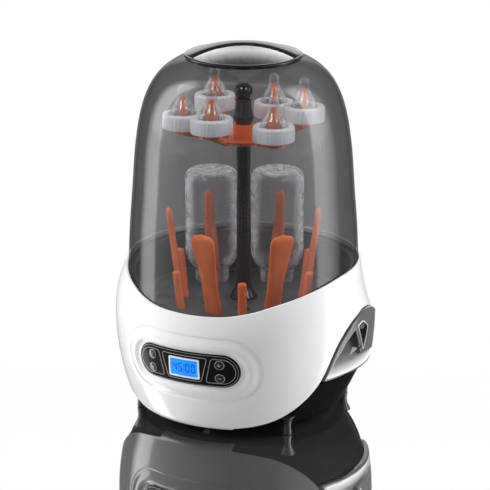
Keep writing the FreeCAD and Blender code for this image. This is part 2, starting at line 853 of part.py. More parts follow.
def handle_cup():
    """Round bowl sunk in the crown of the lid, under the handle."""
    r = lid_opening_radius
    floor, t = cup_floor_z, cup_wall
    top = 372.9
    outline = [(0, floor), (cup_floor_radius, floor), (r - 4, top - 6), (r - 0.2, top - 3)]
    outline += [(r - 0.2, top), (r + 3.0, top - 0.6), (r + 3.0, top + 0.9), (r - 2, top + 1.9)]
    outline += [(r - 2.4, top - 2), (r - 6, top - 5), (cup_floor_radius - 1, floor + t), (0, floor + t)]
    return revolve_points(outline)


def lid_handle():
    """Arched black bridge across the bowl, wider at its ends."""
    end_r, end_z = lid_opening_radius + 1.5, 375.0
    rise = handle_top_z - end_z
    sphere_r = (end_r ** 2 + rise ** 2) / (2 * rise)
    centre = Vector(0, 0, handle_top_z - sphere_r)
    skin = Part.makeSphere(sphere_r, centre).cut(Part.makeSphere(sphere_r - handle_thickness, centre))
    low = cup_floor_z
    near_left, near_right = Vector(-end_r, -handle_flare, low), Vector(end_r, -handle_flare, low)
    far_left, far_right = Vector(-end_r, handle_flare, low), Vector(end_r, handle_flare, low)
    edges = [
        Part.Arc(near_left, Vector(0, -handle_waist, low), near_right).toShape(),
        Part.makeLine(near_right, far_right),
        Part.Arc(far_right, Vector(0, handle_waist, low), far_left).toShape(),
        Part.makeLine(far_left, near_left),
    ]
    prism = Part.Face(Part.Wire(edges)).extrude(Vector(0, 0, handle_top_z - low + 1))
    bridge = skin.common(prism).common(disc(end_r, 340, 400))
    bridge = bridge.cut(handle_cup()).cut(dome_solid(0))
    return at_angle(max(bridge.Solids, key=lambda solid: solid.Volume), handle_turn)


def sub_parts():
    shapes = {
        "base_shell": base_shell(),
        "side_grip_left": side_grip(-1),
        "side_grip_right": side_grip(1),
        "chassis": chassis(),
        "chassis_screws": chassis_screws(),
        "feet": feet(),
        "panel_bezel": panel_bezel(),
        "display_window": display_window(),
        "display_module": display_module(),
        "control_board": control_board(),
        "tact_switches": tact_switches(),
        "chamber_deck": chamber_deck(),
        "heating_plate": heating_plate(),
        "heating_element": heating_element(),
        "thermostat": thermostat(),
        "thermal_fuse": thermal_fuse(),
        "temperature_sensor": temperature_sensor(),
        "fan_housing": fan_housing(),
        "fan_rotor": fan_rotor(),
        "fan_motor": fan_motor(),
        "air_heater": air_heater(),
        "air_duct": air_duct(),
        "air_filter": air_filter(),
        "filter_cover": filter_cover(),
        "power_inlet": power_inlet(),
        "power_board": power_board(),
        "wiring_loom": wiring_loom(),
        "bottle_rack": bottle_rack(),
        "broad_prongs": broad_prongs(),
        "tall_prongs": tall_prongs(),
        "short_pegs": short_pegs(),
        "bottles": bottles(),
        "centre_column": centre_column(),
        "column_knob": column_knob(),
        "accessory_tray": accessory_tray(),
        "tray_prongs": tray_prongs(),
        "collars": collars(),
        "teats": teats(),
        "lid_dome": lid_dome(),
        "lid_seal": lid_seal(),
        "handle_cup": handle_cup(),
        "lid_handle": lid_handle(),
    }
    for name, (x, z) in button_places().items():
        shapes[name] = button_cap(x, z)
    return shapes


def main():
    os.makedirs("parts", exist_ok=True)
    for name, shape in sub_parts().items():
        if not shape.isValid() or not shape.Solids:
            print("check", name, shape.isValid(), len(shape.Solids))
        shape.exportStep(os.path.join("parts", name + ".step"))


main()
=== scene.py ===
import json
import math

import bmesh
import bpy
from mathutils import Matrix, Vector

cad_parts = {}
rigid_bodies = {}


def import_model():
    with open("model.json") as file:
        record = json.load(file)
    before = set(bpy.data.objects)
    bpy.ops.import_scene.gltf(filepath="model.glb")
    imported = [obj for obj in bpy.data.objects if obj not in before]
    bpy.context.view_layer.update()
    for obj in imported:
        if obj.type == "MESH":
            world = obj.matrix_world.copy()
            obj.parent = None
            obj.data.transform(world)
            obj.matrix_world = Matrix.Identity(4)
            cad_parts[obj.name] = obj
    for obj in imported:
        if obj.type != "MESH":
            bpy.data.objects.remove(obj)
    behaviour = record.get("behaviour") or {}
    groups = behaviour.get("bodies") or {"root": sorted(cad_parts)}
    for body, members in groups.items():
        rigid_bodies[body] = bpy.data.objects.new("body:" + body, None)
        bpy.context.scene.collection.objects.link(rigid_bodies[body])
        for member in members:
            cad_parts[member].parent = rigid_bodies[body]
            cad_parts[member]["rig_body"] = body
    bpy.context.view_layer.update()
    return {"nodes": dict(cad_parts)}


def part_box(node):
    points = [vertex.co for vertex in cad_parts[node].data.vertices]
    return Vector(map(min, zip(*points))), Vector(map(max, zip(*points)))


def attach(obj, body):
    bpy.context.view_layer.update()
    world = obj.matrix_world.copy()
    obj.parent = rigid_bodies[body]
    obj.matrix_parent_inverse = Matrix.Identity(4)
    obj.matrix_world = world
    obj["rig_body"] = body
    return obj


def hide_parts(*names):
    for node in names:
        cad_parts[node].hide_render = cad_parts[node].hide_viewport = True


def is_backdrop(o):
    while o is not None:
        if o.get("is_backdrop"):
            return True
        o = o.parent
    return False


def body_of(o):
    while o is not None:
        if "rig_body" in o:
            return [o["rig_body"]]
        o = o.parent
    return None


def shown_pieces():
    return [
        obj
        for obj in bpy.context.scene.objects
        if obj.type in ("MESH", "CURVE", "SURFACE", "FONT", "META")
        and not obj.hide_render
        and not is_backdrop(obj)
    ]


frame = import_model()

# Lengths below are millimetres; meshes are scaled to metres when they are made.
MM = 0.001


def box_mm(node):
    low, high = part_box(node)
    return Vector(low) / MM, Vector(high) / MM


# ---- Dimensions read from the frame ---------------------------------------------

shell_low, shell_high = box_mm("base_shell")
dome_low, dome_high = box_mm("lid_dome")
handle_low, handle_high = box_mm("lid_handle")
cup_low, cup_high = box_mm("handle_cup")
rack_low, rack_high = box_mm("bottle_rack")
grip_low, grip_high = box_mm("side_grip_right")
bottle_low, bottle_high = box_mm("bottles")
column_low, column_high = box_mm("centre_column")
knob_low, knob_high = box_mm("column_knob")
tray_low, tray_high = box_mm("accessory_tray")
bezel_low, bezel_high = box_mm("panel_bezel")

BODY_RADIUS = shell_high.x
BODY_BOTTOM = shell_low.z
RIM_REAR = shell_high.z
RIM_FRONT = RIM_REAR - 29.7
RIM_SIDE = RIM_REAR - 0.8
DOME_FOOT_RADIUS = dome_high.x + 0.6
OPENING_RADIUS = 58.0
STATION_TURN = -4.0
PRONG_BASE = rack_low.z + 9.9
PANEL_Z = (bezel_low.z + bezel_high.z) / 2


# ---- Small mesh tools -------------------------------------------------------------

def clamp(value, low=0.0, high=1.0):
    return max(low, min(high, value))


def ease(value):
    """Smooth step from 0 to 1."""
    t = clamp(value)
    return t * t * (3 - 2 * t)


def mix(a, b, t):
    return a + (b - a) * t


def spline(points, steps=8):
    """Catmull-Rom path through points, as a dense list."""
    path = []
    last = len(points) - 1
    for i in range(last):
        p0, p1 = points[max(i - 1, 0)], points[i]
        p2, p3 = points[i + 1], points[min(i + 2, last)]
        for step in range(steps):
            t = step / steps
            path.append(tuple(
                0.5 * (2 * b + (c - a) * t + (2 * a - 5 * b + 4 * c - d) * t * t + (3 * b - a - 3 * c + d) * t ** 3)
                for a, b, c, d in zip(p0, p1, p2, p3)
            ))
    path.append(tuple(points[-1]))
    return path


def lookup(path, x):
    """Value of a dense path of (x, value) pairs at x."""
    if x <= path[0][0]:
        return path[0][1]
    for (x0, v0), (x1, v1) in zip(path, path[1:]):
        if x <= x1:
            return mix(v0, v1, (x - x0) / max(x1 - x0, 1e-9))
    return path[-1][1]


def make_object(name, vertices, faces, sharp=35.0):
    mesh = bpy.data.meshes.new(name)
    mesh.from_pydata([Vector(v) * MM for v in vertices], [], faces)
    finish_mesh(mesh, sharp)
    obj = bpy.data.objects.new(name, mesh)
    bpy.context.scene.collection.objects.link(obj)
    return obj


def finish_mesh(mesh, sharp=35.0):
    edit = bmesh.new()
    edit.from_mesh(mesh)
    bmesh.ops.remove_doubles(edit, verts=edit.verts, dist=1e-6)
    bmesh.ops.recalc_face_normals(edit, faces=edit.faces)
    edit.to_mesh(mesh)
    edit.free()
    for polygon in mesh.polygons:
        polygon.use_smooth = True
    mesh.set_sharp_from_angle(angle=math.radians(sharp))


def grid_faces(rows, columns, wrap_rows=False, wrap_columns=True):
    faces = []
    for r in range(rows if wrap_rows else rows - 1):
        for c in range(columns if wrap_columns else columns - 1):
            r1, c1 = (r + 1) % rows, (c + 1) % columns
            faces.append((r * columns + c, r * columns + c1, r1 * columns + c1, r1 * columns + c))
    return faces


def lathe(name, profile, segments=72, centre=(0, 0), sharp=35.0):
    """Solid of revolution from a closed profile of (radius, z); points on the axis are merged."""
    vertices = []
    for r, z in profile:
        for i in range(segments):
            a = 2 * math.pi * i / segments
            vertices.append((centre[0] + r * math.sin(a), centre[1] - r * math.cos(a), z))
    closed = profile[0][0] > 1e-6
    return make_object(name, vertices, grid_faces(len(profile), segments, wrap_rows=closed), sharp)


def rounded(corners, radius, steps=5):
    """Round the corners of an open polyline; a corner may carry its own radius as a third value."""
    path = [tuple(corners[0][:2])]
    for before, here, after in zip(corners, corners[1:], corners[2:]):
        p = Vector(here[:2])
        bend = here[2] if len(here) > 2 else radius
        a, b = Vector(before[:2]) - p, Vector(after[:2]) - p
        cut = min(bend, a.length * 0.48, b.length * 0.48)
        start, end = p + a.normalized() * cut, p + b.normalized() * cut
        for i in range(steps + 1):
            t = i / steps
            q = start.lerp(p, t).lerp(p.lerp(end, t), t)
            path.append((q.x, q.y))
    path.append(tuple(corners[-1][:2]))
    return path


def extrude_outline(name, outline, place, low, high, sharp=35.0):
    """Prism over a closed 2-D outline; place(u, v, w) puts a point in space."""
    n = len(outline)
    vertices = [place(u, v, low) for u, v in outline] + [place(u, v, high) for u, v in outline]
    faces = [tuple(range(n)), tuple(range(2 * n - 1, n - 1, -1))]
    faces += [(i, (i + 1) % n, n + (i + 1) % n, n + i) for i in range(n)]
    return make_object(name, vertices, faces, sharp)


def cut_away(obj, cutters):
    """Subtract cutters from an object's mesh and drop them."""
    for cutter in cutters:
        step = obj.modifiers.new("cut", "BOOLEAN")
        step.operation = "DIFFERENCE"
        step.solver = "EXACT"
        step.object = cutter
    graph = bpy.context.evaluated_depsgraph_get()
    mesh = bpy.data.meshes.new_from_object(obj.evaluated_get(graph), depsgraph=graph)
    obj.modifiers.clear()
    obj.data = mesh
    for cutter in cutters:
        bpy.data.objects.remove(cutter)
    finish_mesh(mesh)


def joined(name, objects):
    """One piece from several meshes."""
    edit = bmesh.new()
    for obj in objects:
        edit.from_mesh(obj.data)
    mesh = bpy.data.meshes.new(name)
    edit.to_mesh(mesh)
    edit.free()
    for obj in objects:
        bpy.data.objects.remove(obj)
    finish_mesh(mesh)
    obj = bpy.data.objects.new(name, mesh)
    bpy.context.scene.collection.objects.link(obj)
    return obj


def moved(obj, matrix):
    obj.data.transform(matrix)
    return obj


def turned(obj, degrees):
    return moved(obj, Matrix.Rotation(math.radians(degrees), 4, "Z"))


def polar(radius, angle, z=0.0):
    """A point at an angle counted from the front towards +X."""
    a = math.radians(angle)
    return (radius * math.sin(a), -radius * math.cos(a), z)


def stations():
    return [STATION_TURN + 60.0 * i for i in range(6)]


# ---- Materials --------------------------------------------------------------------

class Shader:
    """Short names for building one node material."""

    def __init__(self, name):
        self.material = bpy.data.materials.new(name)
        self.material.use_nodes = True
        self.tree = self.material.node_tree
        self.tree.nodes.clear()
        self.output = self.tree.nodes.new("ShaderNodeOutputMaterial")
        self.place = self.tree.nodes.new("ShaderNodeTexCoord").outputs["Object"]

    def node(self, kind, inputs=None, **settings):
        made = self.tree.nodes.new("ShaderNode" + kind)
        for key, value in settings.items():
            setattr(made, key, value)
        for key, value in (inputs or {}).items():
            socket = made.inputs[key]
            if isinstance(value, bpy.types.NodeSocket):
                self.tree.links.new(value, socket)
            else:
                socket.default_value = value
        return made

    def noise(self, scale, detail=3.0, roughness=0.5, vector=None):
        inputs = {"Vector": vector or self.place, "Scale": scale, "Detail": detail, "Roughness": roughness}
        return self.node("TexNoise", inputs).outputs["Fac"]

    def span(self, value, low, high, from_low=0.3, from_high=0.7):
        inputs = {"Value": value, "From Min": from_low, "From Max": from_high, "To Min": low, "To Max": high}
        return self.node("MapRange", inputs).outputs["Result"]

    def ramp(self, value, stops):
        made = self.node("ValToRGB", {"Fac": value})
        ramp = made.color_ramp
        while len(ramp.elements) < len(stops):
            ramp.elements.new(0.5)
        for element, (position, colour) in zip(ramp.elements, stops):
            element.position = position
            element.color = (*colour, 1.0)
        return made.outputs["Color"]

    def bump(self, height, strength, distance=0.0004):
        inputs = {"Height": height, "Strength": strength, "Distance": distance}
        return self.node("Bump", inputs).outputs["Normal"]

    def finish(self, shader):
        self.tree.links.new(shader, self.output.inputs["Surface"])
        return self.material


def shade(colour, factor):
    return tuple(clamp(c * factor) for c in colour)


def solid_finish(name, colour, rough, variation=0.04, grain=700.0, bump=0.05, coat=0.0, metal=0.0, mottle=30.0,
                 spread=0.05, specular=0.5):
    """Moulded or metal surface with faint mottling, uneven gloss and a fine grain."""
    s = Shader(name)
    mottled = s.noise(mottle, 4.0)
    tone = s.ramp(mottled, [(0.3, shade(colour, 1 - variation)), (0.7, shade(colour, 1 + variation))])
    gloss = s.span(s.noise(mottle * 3, 5.0, 0.6), max(rough - spread, 0.02), rough + spread)
    normal = s.bump(s.noise(grain, 2.0), bump)
    made = s.node("BsdfPrincipled", {
        "Base Color": tone, "Roughness": gloss, "Normal": normal, "Metallic": metal,
        "Coat Weight": coat, "Coat Roughness": 0.03, "Specular IOR Level": specular,
    })
    return s.finish(made.outputs["BSDF"])


def white_finish():
    """Glossy white moulding, even in tone, with painted grey shade at the edge where it turns away and painted dark
    where it is seen in reflections such as the floor's mirror.
    """
    s = Shader("white_gloss")
    mottled = s.ramp(s.noise(30.0, 4.0), [(0.3, (0.85, 0.85, 0.865)), (0.7, (0.87, 0.87, 0.885))])
    facing = s.node("LayerWeight", {"Blend": 0.5}).outputs["Facing"]
    # Painted shade: the colour turns grey at grazing angles, standing in for shade along the turning edge.
    edge = s.ramp(facing, [(0.0, (1.0,) * 3), (0.86, (1.0,) * 3), (0.97, (0.32,) * 3)])
    tone_with_edge_shade = s.node("MixRGB", {"Fac": 1.0, "Color1": mottled, "Color2": edge}, blend_type="MULTIPLY").outputs[0]
    mirrored = s.node("LightPath").outputs["Is Glossy Ray"]
    # Painted reflection: seen by glossy rays, as in the floor's mirror, the white is painted near-black.
    tone = s.node("MixRGB", {"Fac": mirrored, "Color1": tone_with_edge_shade, "Color2": (0.08, 0.08, 0.083, 1.0)}).outputs[0]
    gloss = s.span(s.noise(90.0, 5.0, 0.6), 0.1, 0.16)
    normal = s.bump(s.noise(500.0, 2.0), 0.015)
    made = s.node("BsdfPrincipled", {
        "Base Color": tone, "Roughness": gloss, "Normal": normal, "Coat Weight": 0.3, "Coat Roughness": 0.04,
    })
    return s.finish(made.outputs["BSDF"])


def scoop_finish():
    """Inside of a grip's scoop: painted shade darkens its top and a painted highlight lightens it along its lower lip.
    """
    s = Shader("grip_scoop")
    height = s.node("SeparateXYZ", {"Vector": s.place}).outputs["Z"]
    rise = s.span(height, 0.0, 1.0, (grip_low.z + 3.0) * MM, (grip_low.z + 42.0) * MM)
    # Painted light: the colour runs from a painted highlight at the lower lip to painted shade at the top of the scoop.
    tone = s.ramp(rise, [(0.0, (0.85, 0.85, 0.86)), (0.12, (0.62, 0.62, 0.63)), (0.34, (0.16, 0.16, 0.165)),
                         (0.55, (0.05, 0.05, 0.052)), (1.0, (0.028, 0.028, 0.03))])
    gloss = s.span(s.noise(80.0, 3.0), 0.32, 0.42)
    normal = s.bump(s.noise(500.0), 0.04)
    made = s.node("BsdfPrincipled", {"Base Color": tone, "Roughness": gloss, "Normal": normal,
                                     "Specular IOR Level": 0.25})
    return s.finish(made.outputs["BSDF"])


def smoked_finish():
    """Tinted clear plastic: darker at grazing angles, with a soft sheen and faint streaks."""
    s = Shader("smoked_clear")
    facing = s.node("LayerWeight", {"Blend": 0.5}).outputs["Facing"]
    tint = s.ramp(facing, [(0.0, (0.8, 0.8, 0.81)), (0.5, (0.78, 0.78, 0.79)), (0.8, (0.72, 0.72, 0.73)),
                           (0.97, (0.3, 0.3, 0.31))])
    clear = s.node("BsdfTransparent", {"Color": tint})
    stretched = s.node("Mapping", {"Vector": s.place, "Scale": (1.0, 1.0, 0.15)}).outputs["Vector"]
    haze = s.span(s.noise(14.0, 3.0, 0.5, stretched), 0.04, 0.09)
    sheen = s.node("BsdfGlossy", {"Color": (0.9, 0.9, 0.92, 1.0), "Roughness": haze})
    veil = s.node("BsdfDiffuse", {"Color": (0.1, 0.1, 0.105, 1.0)})
    amount = s.ramp(facing, [(0.0, (0.04,) * 3), (0.5, (0.07,) * 3), (0.8, (0.16,) * 3), (1.0, (0.12,) * 3)])
    body = s.node("MixShader", {0: 0.04, 1: clear.outputs[0], 2: veil.outputs[0]})
    mixed = s.node("MixShader", {0: amount, 1: body.outputs[0], 2: sheen.outputs[0]})
    return s.finish(mixed.outputs[0])


def clear_finish(name, colour, rough, wave=60.0, strength=0.35, pale_amount_low=0.02, pale_amount_high=0.3):
    """Clear moulding with gently uneven walls, pale at its edges, and what lies behind shows through. The pale is a
    white diffuse mixed in towards grazing edges and along the streaks: partly the plastic's own milkiness, partly a
    painted highlight for the bright edges of clear walls.
    """
    s = Shader(name)
    facing = s.node("LayerWeight", {"Blend": 0.5}).outputs["Facing"]
    waves = s.noise(wave, 3.0, 0.6)
    normal = s.bump(waves, strength, 0.001)
    tint = s.ramp(facing, [(0.0, colour), (0.6, shade(colour, 0.93)), (1.0, shade(colour, 0.6))])
    clear = s.node("BsdfTransparent", {"Color": tint})
    gloss = s.span(s.noise(wave * 2, 2.0), rough, rough + 0.1)
    sheen = s.node("BsdfGlossy", {"Color": (1.0, 1.0, 1.0, 1.0), "Roughness": gloss, "Normal": normal})
    # Partly the plastic's own milkiness, partly a painted highlight: lit white mixed in towards grazing edges and along
    # the streaks.
    milk_and_highlight = s.node("BsdfDiffuse", {"Color": (0.85, 0.86, 0.88, 1.0), "Normal": normal})
    streaks = s.span(waves, 0.3, 1.7, 0.35, 0.65)
    paleness = s.span(facing, pale_amount_low, pale_amount_high, 0.25, 0.95)
    veiled = s.node("Math", {0: streaks, 1: paleness}, operation="MULTIPLY", use_clamp=True).outputs[0]
    amount = s.ramp(facing, [(0.0, (0.03,) * 3), (0.5, (0.09,) * 3), (0.85, (0.25,) * 3), (1.0, (0.4,) * 3)])
    filled = s.node("MixShader", {0: veiled, 1: clear.outputs[0], 2: milk_and_highlight.outputs[0]})
    mixed = s.node("MixShader", {0: amount, 1: filled.outputs[0], 2: sheen.outputs[0]})
    return s.finish(mixed.outputs[0])


def orange_finish():
    """Warm orange moulding with a faint painted glow (emission) that stands in for light passing through its thin
    parts.
    """
    s = Shader("orange_plastic")
    tone = s.ramp(s.noise(45.0, 3.0), [(0.3, (0.6, 0.115, 0.022)), (0.7, (0.74, 0.17, 0.035))])
    gloss = s.span(s.noise(120.0, 3.0), 0.26, 0.4)
    normal = s.bump(s.noise(600.0, 2.0), 0.08)
    # Painted glow: the emission is not a lamp; it stands in for light shining through the thin plastic.
    made = s.node("BsdfPrincipled", {
        "Base Color": tone, "Roughness": gloss, "Normal": normal,
        "Emission Color": tone, "Emission Strength": 0.06,
    })
    return s.finish(made.outputs["BSDF"])


def display_finish():
    """Back-lit blue display, a little uneven."""
    s = Shader("display_blue")
    cloud = s.noise(60.0, 2.0)
    tone = s.ramp(cloud, [(0.3, (0.0, 0.17, 0.92)), (0.7, (0.0, 0.22, 1.0))])
    gloss = s.span(s.noise(200.0), 0.12, 0.22)
    made = s.node("BsdfPrincipled", {
        "Base Color": tone, "Roughness": gloss, "Emission Color": tone, "Emission Strength": 0.85,
    })
    return s.finish(made.outputs["BSDF"])


def bowl_finish():
    """Handle bowl: smoked when seen through the lid, satin inside, painted light near its edge and painted shade
    darkening its floor.
    """
    s = Shader("handle_bowl")
    height = s.node("SeparateXYZ", {"Vector": s.place}).outputs["Z"]
    rise = s.span(height, 0.0, 1.0, (cup_low.z + 4) * MM, (cup_low.z + 17) * MM)
    # Painted light and shade: the colour is painted light at the bowl's upper edge and dark at its floor.
    tone = s.ramp(rise, [(0.0, (0.04, 0.04, 0.042)), (0.35, (0.14, 0.14, 0.145)), (0.7, (0.5, 0.5, 0.51)),
                         (1.0, (0.92, 0.92, 0.93))])
    gloss = s.span(s.noise(80.0, 3.0), 0.22, 0.34)
    normal = s.bump(s.noise(500.0), 0.04)
    facing_up = s.node("SeparateXYZ", {"Vector": s.node("NewGeometry").outputs["Normal"]}).outputs["Z"]
    upper = s.node("Math", {0: facing_up, 1: 0.02}, operation="GREATER_THAN").outputs[0]
    depth = s.node("LightPath").outputs["Transparent Depth"]
    in_sight = s.node("Math", {0: depth, 1: 0.5}, operation="LESS_THAN").outputs[0]
    inner = s.node("Math", {0: upper, 1: in_sight}, operation="MULTIPLY").outputs[0]
    satin = s.node("BsdfPrincipled", {"Base Color": tone, "Roughness": gloss, "Normal": normal})
    smoked = s.node("BsdfTransparent", {"Color": (0.93, 0.93, 0.935, 1.0)})
    made = s.node("MixShader", {0: inner, 1: smoked.outputs[0], 2: satin.outputs[0]})
    return s.finish(made.outputs[0])


def floor_finish():
    """Polished floor that mirrors the white backdrop and the object's foot, dimmed where it is seen through the lid."""
    s = Shader("studio_floor")
    depth = s.node("LightPath").outputs["Transparent Depth"]
    shade_through = s.span(depth, 1.0, 0.3, 0.0, 1.0)
    pale = s.ramp(s.noise(3.0, 2.0), [(0.3, (0.9, 0.9, 0.9)), (0.7, (0.93, 0.93, 0.93))])
    matt = s.node("BsdfDiffuse", {"Color": pale})
    mirror = s.node("CombineColor", {"Red": shade_through, "Green": shade_through, "Blue": shade_through}).outputs[0]
    shine = s.node("BsdfGlossy", {"Color": mirror, "Roughness": s.span(s.noise(5.0), 0.0, 0.02)})
    mixed = s.node("MixShader", {0: 0.98, 1: matt.outputs[0], 2: shine.outputs[0]})
    return s.finish(mixed.outputs[0])


def make_materials():
    black = (0.012, 0.012, 0.013)
    return {
        "white": white_finish(),
        "panel": solid_finish("panel_black", (0.008, 0.008, 0.009), 0.1, 0.2, 500.0, 0.01, specular=0.12, spread=0.03),
        "scoop": scoop_finish(),
        "black": solid_finish("black_gloss", black, 0.12, 0.15, 600.0, 0.02, coat=0.4),
        "matt_black": solid_finish("black_satin", (0.02, 0.02, 0.021), 0.38, 0.2, 500.0, 0.12),
        # Near-black, darker than the other blacks: the chassis's own black plus painted shade for the shadow under the
        # body; the seam liner and finger-hole pocket use it as painted shade.
        "underside": solid_finish("black_underside", (0.003, 0.003, 0.003), 0.5, 0.2, 400.0, 0.1, specular=0.03),
        "grip": solid_finish("grip_grey", (0.105, 0.105, 0.11), 0.16, 0.06, 500.0, 0.03, coat=0.5),
        "deck": solid_finish("dark_plastic", (0.055, 0.055, 0.058), 0.34, 0.1, 450.0, 0.1),
        "rubber": solid_finish("foot_rubber", (0.02, 0.02, 0.02), 0.22, 0.2, 500.0, 0.1, coat=0.3),
        "steel": solid_finish("brushed_steel", (0.55, 0.55, 0.56), 0.3, 0.06, 900.0, 0.1, metal=1.0),
        "alloy": solid_finish("heater_alloy", (0.66, 0.66, 0.68), 0.35, 0.05, 600.0, 0.1, metal=1.0),
        "board": solid_finish("board_green", (0.03, 0.17, 0.07), 0.35, 0.15, 250.0, 0.2),
        "ceramic": solid_finish("fuse_ceramic", (0.72, 0.7, 0.63), 0.5, 0.05, 300.0, 0.15),
        "fibre": solid_finish("filter_fibre", (0.72, 0.72, 0.7), 0.85, 0.1, 1800.0, 0.8),
        "wire": solid_finish("wire_cover", (0.1, 0.1, 0.11), 0.45, 0.1, 500.0, 0.2),
        "collar": solid_finish("collar_white", (0.62, 0.63, 0.65), 0.32, 0.03, 500.0, 0.06),
        "line": solid_finish("panel_line", (0.42, 0.42, 0.44), 0.3, 0.05, 500.0, 0.03),
        "frame": solid_finish("display_frame", (0.95, 0.96, 0.97), 0.3, 0.02, 500.0, 0.02),
        "digit": solid_finish("display_digit", (0.0, 0.05, 0.32), 0.3, 0.05, 500.0, 0.02),
        # Pale grey for the painted highlights along the scoop's front edge and the finger hole's rim.
        "pale_highlight_edge": solid_finish("pale_highlight_edge", (0.72, 0.72, 0.73), 0.25, 0.03, 500.0, 0.03),
        "orange": orange_finish(),
        "display": display_finish(),
        "bowl": bowl_finish(),
        "smoked": smoked_finish(),
        "bottle": clear_finish("bottle_clear", (0.94, 0.95, 0.96), 0.03, 150.0, 0.6, 0.03, 0.55),
        "teat": clear_finish("teat_silicone", (0.94, 0.95, 0.96), 0.1, 120.0, 0.3, 0.03, 0.35),
        "floor": floor_finish(),
    }


look = make_materials()

CAD_LOOKS = {
    "chassis": "underside",
    "chassis_screws": "steel",
    "display_module": "matt_black",
    "control_board": "board",
    "power_board": "board",
    "tact_switches": "matt_black",
    "chamber_deck": "deck",
    "heating_plate": "steel",
    "heating_element": "steel",
    "thermostat": "steel",
    "thermal_fuse": "ceramic",
    "temperature_sensor": "steel",
    "fan_housing": "matt_black",
    "fan_rotor": "deck",
    "fan_motor": "steel",
    "air_heater": "alloy",
    "air_duct": "matt_black",
    "air_filter": "fibre",
    "power_inlet": "matt_black",
    "wiring_loom": "wire",
    "filter_cover": "white",
    "bottle_rack": "deck",
    "lid_seal": "rubber",
    "accessory_tray": "orange",
}


def paint_cad():
    """Give each CAD node that stays its material."""
    for node, key in CAD_LOOKS.items():
        obj = frame["nodes"][node]
        if not obj.material_slots:
            obj.data.materials.append(look[key])
        for slot in obj.material_slots:
            slot.link = "OBJECT"
            slot.material = look[key]


def piece(obj, body, key, replaces=()):
    """Dress a finished mesh and tie it to the frame."""
    obj.data.materials.clear()
    obj.data.materials.append(look[key])
    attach(obj, body)
    if replaces:
        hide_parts(*replaces)
    return obj


# ---- The body's surface -------------------------------------------------------------

RISE = RIM_SIDE - RIM_FRONT
rim_path = spline([
    (-150.0, RIM_FRONT - 1.3), (-121.0, RIM_FRONT), (-105.0, RIM_FRONT + 0.19 * RISE),
    (-85.0, RIM_FRONT + 0.47 * RISE), (-41.0, RIM_FRONT + 0.845 * RISE), (0.0, RIM_SIDE),
    (121.0, RIM_REAR), (150.0, RIM_REAR + 1.0),
])


def rim_height(angle, radius=121.0):
    return lookup(rim_path, -radius * math.cos(math.radians(angle)))


def rear_share(angle):
    """How far the shoulder has turned from the full front bulge into the straighter rear slope."""
    return ease((abs((angle + 180.0) % 360.0 - 180.0) - 60.0) / 50.0)


def body_radius(z, angle):
    """Bulged wall, rounded foot and a shoulder that follows the rim."""
    radius = BODY_RADIUS - 21.0 * max(0.0, 1 - z / 100.0) ** 2
    into_round = BODY_BOTTOM + 8.0 - z
    if into_round > 0:
        radius -= 8.0 - math.sqrt(max(0.0, 64.0 - into_round ** 2))
    below = max(rim_height(angle) - z, 0.0)
    if below < 50.0:
        radius -= 12.0 * (1 - below / 50.0) ** 2.4
    slope = BODY_RADIUS - 12.0 + 0.09 * below + 0.0022 * below ** 2
    return radius - rear_share(angle) * max(0.0, radius - slope)


def stadium_distance(x, z, straight):
    """Distance from the centre line of an oblong of the given straight half-length."""
    return math.hypot(max(abs(x) - straight, 0.0), z - PANEL_Z)


def dish(x, z):
    """Shallow oblong dish around the panel: a crisp outer step and a pillow inside it."""
    reach = stadium_distance(x, z, 43.0)
    if reach > 35.0:
        return 0.0
    step = -0.9 * (1 - ease((reach - 33.2) / 1.5))
    pillow = 1.3 * ease((33.2 - reach) / 8.0) * ease((reach - 17.0) / 6.0)
    well = -1.4 * (1 - ease((reach - 17.5) / 6.0))
    return step + pillow + well


def panel_point(x, z, offset):
    """A point of the front wall straight behind (x, z)."""
    angle = math.degrees(math.asin(clamp(x / BODY_RADIUS, -1, 1)))
    radius = body_radius(z, angle) + offset
    return (x, -math.sqrt(max(radius ** 2 - x ** 2, 0.0)), z)


DOME_TOP = 384.0
dome_curve = spline([
    (DOME_FOOT_RADIUS, 120.0), (118.6, 185.0), (114.8, 235.0), (111.2, 280.0), (105.4, 315.0), (96.7, 339.5),
    (83.6, 357.5), (63.1, 370.5), (34.0, 379.5), (0.0, DOME_TOP),
], 12)
dome_by_height = [(z, r) for r, z in dome_curve]


# ---- Base shell ---------------------------------------------------------------------

def shell_angles():
    fine = [-48 + 0.6 * i for i in range(161)]
    coarse = [48 + 3.0 * i for i in range(1, 88)]
    return fine + coarse


def arch_outline(margin=0.0, drop=0.0):
    """Side view of the arch in the white shell, as (y, z) points from front to rear."""
    half = spline([
        (-109 - margin, 12.0), (-86 - margin, 24.0), (-62 - margin, 52.0), (-43 - margin, 92.0),
        (-20 - margin * 0.7, 111 + margin * 0.7), (12.0, 118.0 + margin),
    ], 6)
    rest = [(24 - y, z) for y, z in reversed(half[:-1])]
    return [(y, z - drop) for y, z in half + rest]


def prism_x(name, outline, x_low, x_high):
    return extrude_outline(name, outline, lambda u, v, w: (w, u, v), x_low, x_high)


def prism_y(name, outline, y_low, y_high):
    return extrude_outline(name, outline, lambda u, v, w: (u, w, v), y_low, y_high)


def stadium_outline(straight, radius, z, steps=20):
    points = []
    for side, start in ((1, -90), (-1, 90)):
        for i in range(steps + 1):
            a = math.radians(start + 180 * i / steps)
            points.append((side * straight + radius * math.cos(a), z + radius * math.sin(a)))
    return points


def rectangle(x0, x1, z0, z1, radius=0.0):
    corners = [(mix(x0, x1, 0.5), z0), (x1, z0), (x1, z1), (x0, z1), (x0, z0), (mix(x0, x1, 0.5), z0)]
    return rounded(corners, radius)[:-1] if radius else [(x0, z0), (x1, z0), (x1, z1), (x0, z1)]


